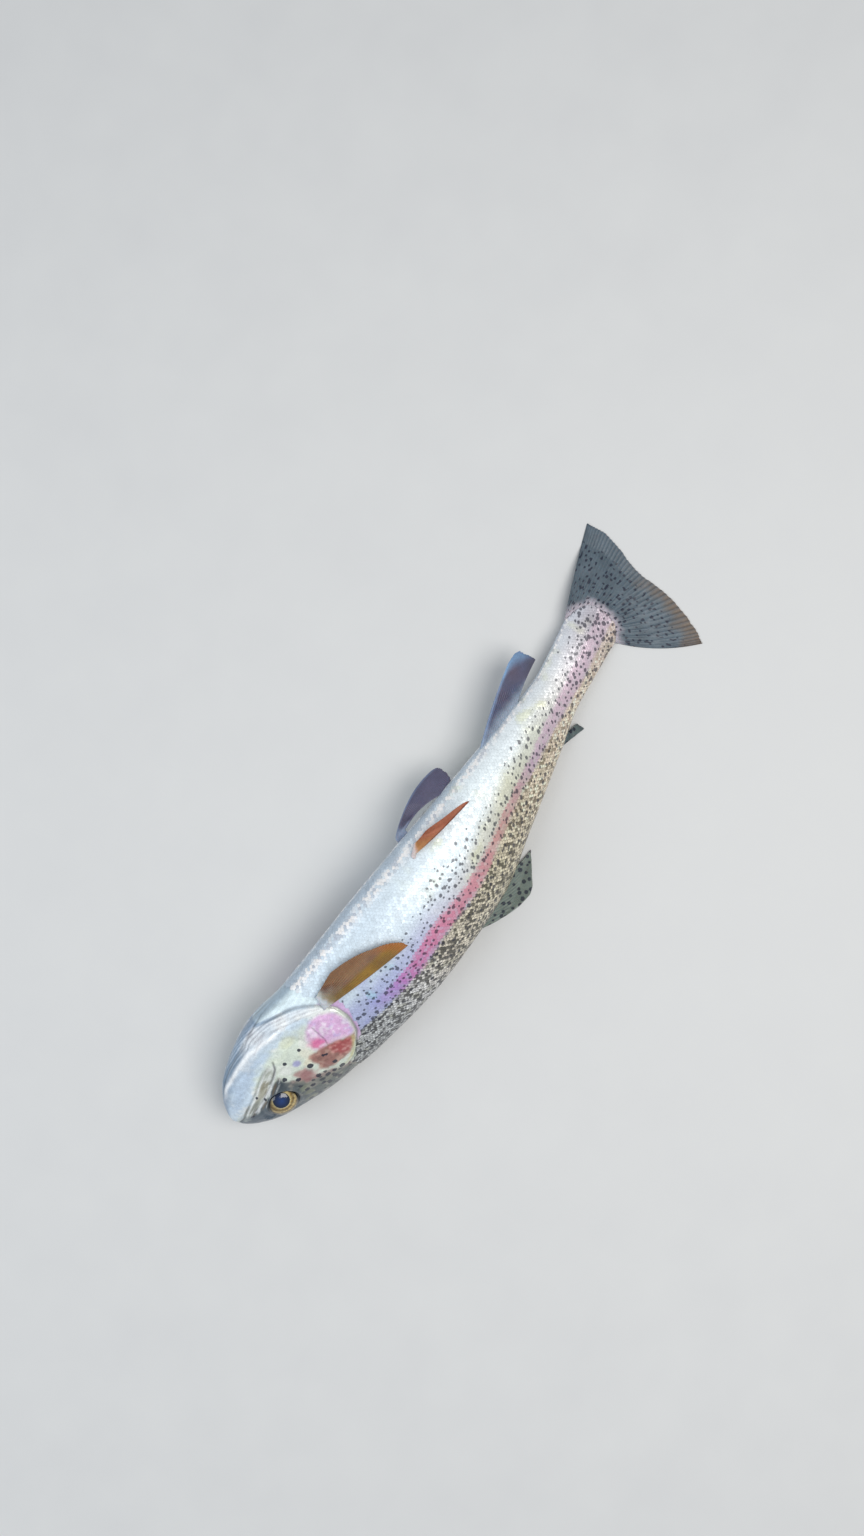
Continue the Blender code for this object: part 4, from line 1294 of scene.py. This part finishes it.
def add_fin(
    name, ray, rays, look, finish, thick=FIN_ROOT, thin=None, settled=None, sink=FIN_SINK, dive=0.0
):
    """A closed thin plate along the rays of a fin, ribbed on both faces, with a slightly worn margin.

    Its root is thick in the middle, and thin at its ends if that is given. The plate reaches into the
    body by the share sink of its rays, and dives under the skin there. Past settled it lies on the floor.
    """
    shares = np.linspace(-sink, 1, FIN_LINES)
    r, t = np.meshgrid(np.linspace(0, 1, rays * PER_RAY + 1), shares, indexing="ij")
    ridge = ray_ridge(r, np.maximum(t, 0), rays)
    rng = np.random.default_rng(len(name) + rays)
    wear = np.interp(r[:, 0] * rays * 2, np.arange(2 * rays + 1), rng.random(2 * rays + 1))[:, None]
    worn = 0.015 + 0.014 * wear + 0.006 * (1 - ray_ridge(r, 1.0, rays))
    t_worn = np.where(t > 0, t * (1 - worn * np.clip(t, 0, 1) ** 2), t)
    root = thick if thin is None else thin + (thick - thin) * np.sin(math.pi * r)
    solid = 0.5 * (FIN_RIM + (root - FIN_RIM) * (1 - np.clip(t, 0, 1)) ** FIN_THINNING)
    # the sheet through the middle of the plate, laid on the floor where it would sink into it
    middle = place(*ray(r, np.where(t > 0, t_worn, (0.25 if dive else 1.0) * t)), lay=-99.0)
    if dive:
        s_root, up_root, side_root, base = ray(r, 0 * t)
        out = unit(place(s_root, up_root, side_root, base) - place(s_root, 0.0, 0.0, base))
        middle -= out * (dive * np.clip(-t / sink, 0, 1) ** 1.3)[..., None]
    normal = unit(np.cross(np.gradient(middle, axis=0), np.gradient(middle, axis=1)))
    normal = -normal if normal[..., 2].mean() < 0 else normal
    lifted = np.maximum(middle[..., 2], solid) - solid
    if settled is not None:
        lifted = lifted * (1 - np.clip(t_worn / settled, 0, 1) ** 2)
    middle[..., 2] = solid + lifted
    normal = unit(mix(normal, np.array([0.0, 0.0, 1.0]), fade(solid + 0.6 - middle[..., 2], 0, 0.6)))
    # its two faces, thinner between the rays and towards the margins
    half = solid * (0.36 + 0.56 * np.maximum(ridge, 0.75 * fade(t, 0.22, 0.0)))
    half = half * (0.55 + 0.45 * fade(np.minimum(r, 1 - r) * rays, 0, 0.35))
    half = half * (0.55 + 0.45 * fade(1 - t, 0, 0.03))
    upper = middle + normal * half[..., None]
    lower = middle - normal * half[..., None]
    lower[..., 2] = np.maximum(lower[..., 2], 0.02)
    points = np.stack([upper, lower])
    index = np.arange(r.size).reshape(r.shape)
    rim = np.concatenate([index[0], index[1:, -1], index[-1, -2::-1], index[-2:0:-1, 0]])
    quads = grid_quads(*r.shape)
    faces = np.vstack([quads, r.size + quads[:, ::-1], band(rim, r.size + rim)])
    tint, spot = look(r, np.clip(t, 0, 1), ridge, middle)
    piece = link_mesh(
        name + "_skin",
        points,
        [faces if points_outward(points.reshape(-1, 3), faces) else faces[:, ::-1]],
        finish,
        tint=np.clip(tint, 0, 1),
        sharp=70,
        spot=spot,
        ridge=ridge,
    )
    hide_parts(name)


def points_outward(points, quads):
    """True if the faces of a closed mesh point out of it."""
    a, b, c, d = (points[quads[:, i]] for i in range(4))
    return (np.einsum("ij,ij->i", a, np.cross(b, c)) + np.einsum("ij,ij->i", a, np.cross(c, d))).sum() > 0


def cloud(points, seed, one, other):
    """Two colours that change into each other in soft clouds."""
    return mix(one, other, 0.5 + 0.5 * ripple(points, 5.0, seed))


def fin_spots(points, size, radius, seed, share):
    """Dark spots over a spread fin, one in most cells of a jittered grid over the floor."""
    table = np.random.default_rng(seed).random((4096, 5))
    x, y = points[..., 0], points[..., 1]
    column = np.floor(x / size).astype(int)
    row = np.floor(y / size).astype(int)
    nearest = np.full(np.shape(x), 1e9)
    pick = np.zeros((*np.shape(x), 5))
    for i in (-1, 0, 1):
        for j in (-1, 0, 1):
            cell = table[((column + i) * 71 + (row + j) * 157) % 4096]
            off_x = x - (column + i + 0.15 + 0.7 * cell[..., 0]) * size
            off_y = y - (row + j + 0.15 + 0.7 * cell[..., 1]) * size
            off = np.hypot(off_x, off_y)
            pick = np.where((off < nearest)[..., None], cell, pick)
            nearest = np.minimum(nearest, off)
    wide = radius * (0.7 + 0.6 * pick[..., 3])
    return (pick[..., 2] < share) * fade(wide - nearest + 0.15 * ripple(points, 0.9, seed), -0.2, 0.2)


def tail_look(r, t, ridge, points):
    brown = fade(t + 0.12 * ripple(points, 4, 72), 0.72, 0.95)
    colour = paint(
        cloud(points, 71, "46545E", "5C6A74"),
        ("6A7680", 0.4 * ridge),
        ("B4ACB6", fade(0.04 * ripple(points, 2.0, 70) - t, -0.14, 0.0)),
        (mix("7A6248", "4A3A2C", ridge), 0.7 * brown * fade(r, 0.7, 0.3)),
        ("4E5C68", 0.5 * fade(t, 0.7, 1.0) * fade(r, 0.2, 0.6)),
    )
    return colour, fin_spots(points, 2.6, 0.62, 73, 0.9) * fade(t, 0.93, 0.7)


def dorsal_look(r, t, ridge, points):
    colour = paint(
        cloud(points, 74, "5F6D68", "7A8680"),
        ("939A8C", 0.45 * ridge),
        ("D8DDD8", 0.5 * fade(r, 0.12, 0.02) * fade(t, 0.6, 0.95)),
    )
    return colour, fin_spots(points, 3.1, 0.85, 75, 0.9)


def adipose_look(r, t, ridge, points):
    colour = mix(cloud(points, 76, "56646A", "6A7874"), "3C464C", 0.6 * fade(t, 0.75, 1.0))
    return colour, fin_spots(points, 3.4, 0.9, 77, 0.7)


def anal_look(r, t, ridge, points):
    root = fade(0.3 * r - t + 0.05 * ripple(points, 2.0, 84), -0.3, 0.2)
    colour = paint(
        cloud(points, 78, "46506E", "544C62"),
        ("5E5C78", 0.4 * ridge),
        ("7A90B2", 0.8 * fade(r, 0.14, 0.03)),
        ("7CA6CE", 0.9 * fade(t - 0.35 * r, 0.62, 0.88) * (0.6 + 0.4 * ridge)),
        ("9FAEBE", 0.75 * root),
        ("4A4450", 0.5 * fade(r, 0.6, 1.0) * fade(t, 0.3, 0.9)),
    )
    return colour, 0 * r


def pectoral_look(r, t, ridge, points):
    root = fade(0.1 * r - t + 0.05 * ripple(points, 2.0, 83), -0.3, 0.02)
    colour = paint(
        cloud(points, 79, "84684E", "76584E"),
        (cloud(points, 82, "92702C", "75592C"), 0.95 * fade(r, 0.36, 0.2)),
        ("5E3226", 0.8 * fade(r, 0.4, 0.62) * (0.35 + 0.65 * ridge)),
        ("B08A58", 0.5 * (1 - ridge) * fade(t, 0.2, 0.6) * fade(r, 0.2, 0.5)),
        ("A4662E", 0.8 * fade(t + 0.05 * ridge, 0.84, 0.97) * fade(r, 0.5, 0.25)),
        (mix("988C6C", "C2C6C0", fade(r, 0.3, 1.0)), 0.9 * root),
        ("6B5646", 0.5 * fade(r, 0.03, 0.0) * fade(t, 0.1, 0.3)),
        ("CDD5DE", 0.85 * fade(0.03 * ripple(points, 1.5, 84) - t, -0.1, -0.01)),
    )
    return colour, 0 * r


def pelvic_right_look(r, t, ridge, points):
    colour = paint(
        cloud(points, 80, "A8654C", "B87C5E"),
        ("C89C66", 0.7 * fade(t, 0.5, 0.1)),
        ("8C4A38", 0.5 * ridge * fade(t, 0.3, 0.6)),
        ("D8D0D2", 0.9 * fade(t, 0.12, 0.02)),
        ("6B3A2C", 0.8 * fade(r, 0.1, 0.02) * fade(t, 0.1, 0.3)),
    )
    return colour, 0 * r


def pelvic_left_look(r, t, ridge, points):
    colour = paint(
        cloud(points, 81, "4E5068", "5C5A72"),
        ("7F93B4", 0.85 * fade(r, 0.16, 0.03)),
        ("6E6A86", 0.4 * ridge),
        ("8C9CB4", 0.75 * fade(0.05 * ripple(points, 2.0, 85) - t, -0.2, 0.0)),
    )
    return colour, 0 * r


def add_fins():
    slate = fin_material("slate_fin", 0.05)
    mauve = fin_material("mauve_fin", 0.05)
    amber = fin_material("amber_fin", 0.08)
    orange = fin_material("orange_fin", 0.08)
    add_fin(
        "caudal_fin", caudal_ray, 21, tail_look, slate, TAIL_ROOT, FIN_RIM, TAIL_SETTLED, 0.04
    )
    for name, rays, look, finish, slot, sink in (
        ("dorsal_fin", 13, dorsal_look, slate, "fin_slate", FIN_SINK),
        ("adipose_fin", 6, adipose_look, slate, "fin_slate", 0.12),
        ("anal_fin", 13, anal_look, mauve, "fin_mauve", FIN_SINK),
    ):
        ray = partial(median_ray, fin=MEDIAN_FINS[name])
        add_fin(name, ray, rays, look, finish, sink=sink)
    for name, rays, look, finish, slot in (
        ("pectoral_fin_right", 14, pectoral_look, amber, "fin_amber"),
        ("pectoral_fin_left", 14, pectoral_look, amber, "fin_amber"),
        ("pelvic_fin_right", 10, pelvic_right_look, orange, "fin_orange"),
        ("pelvic_fin_left", 10, pelvic_left_look, mauve, "fin_mauve"),
    ):
        side = -1 if name.endswith("left") else 1
        ray = partial(paired_ray, fin=PAIRED_FINS[name], side=side)
        add_fin(name, ray, rays, look, finish, sink=0.1, dive=2.6)


# The stage -------------------------------------------------------------------------------------------


def add_camera():
    data = bpy.data.cameras.new("camera")
    data.sensor_width = 36.0
    data.lens = LENS
    data.clip_start = 0.01
    camera = link("camera", data)
    camera.location = (np.array([CAMERA_STATION, CAMERA_Y, CAMERA_HEIGHT]) - OFFSET) * MM
    camera.rotation_euler = (0, 0, math.atan2(CAMERA_RIGHT[1], CAMERA_RIGHT[0]))
    bpy.context.scene.camera = camera


def add_floor():
    made = Nodes("pale_floor")
    grain = made.noise(30, 2)
    made.set(
        Base_Color=made.blend(grain, rgba("D2D3D3"), rgba("D9DAD9")),
        Roughness=made.spread(grain, 0.6, 0.7),
    )
    mesh = bpy.data.meshes.new("floor")
    corners = [(x * FLOOR_REACH, y * FLOOR_REACH, 0) for x, y in ((-1, -1), (1, -1), (1, 1), (-1, 1))]
    mesh.from_pydata(corners, [], [(0, 1, 2, 3)])
    mesh.materials.append(made.material)
    link("floor", mesh)


def add_light(name, location, size, power, colour):
    """A soft square light that looks at the middle of the floor."""
    data = bpy.data.lights.new(name, "AREA")
    data.size = size
    data.energy = power
    data.color = colour
    light = link(name, data)
    light.location = location
    x, y, z = location
    light.rotation_euler = (math.atan2(math.hypot(x, y), z), 0, math.atan2(-y, -x) - math.pi / 2)


def add_world():
    bpy.context.scene.view_settings.view_transform = "Standard"
    world = bpy.data.worlds.new("studio")
    world.use_nodes = True
    background = world.node_tree.nodes["Background"]
    background.inputs["Color"].default_value = SKY
    background.inputs["Strength"].default_value = SKY_STRENGTH
    bpy.context.scene.world = world


add_camera()
add_skin()
add_scales()
eye_finish = eye_material("eye")
lid_finish = skin_material("wet_eyelid", 0.9, 0.2, False)
for side_name, side_sign in (("right", 1), ("left", -1)):
    add_eye(side_name, side_sign, eye_finish)
    add_eyelid(side_name, side_sign, lid_finish)
add_fins()
add_floor()
for light_row in LIGHTS:
    add_light(*light_row)
add_world()
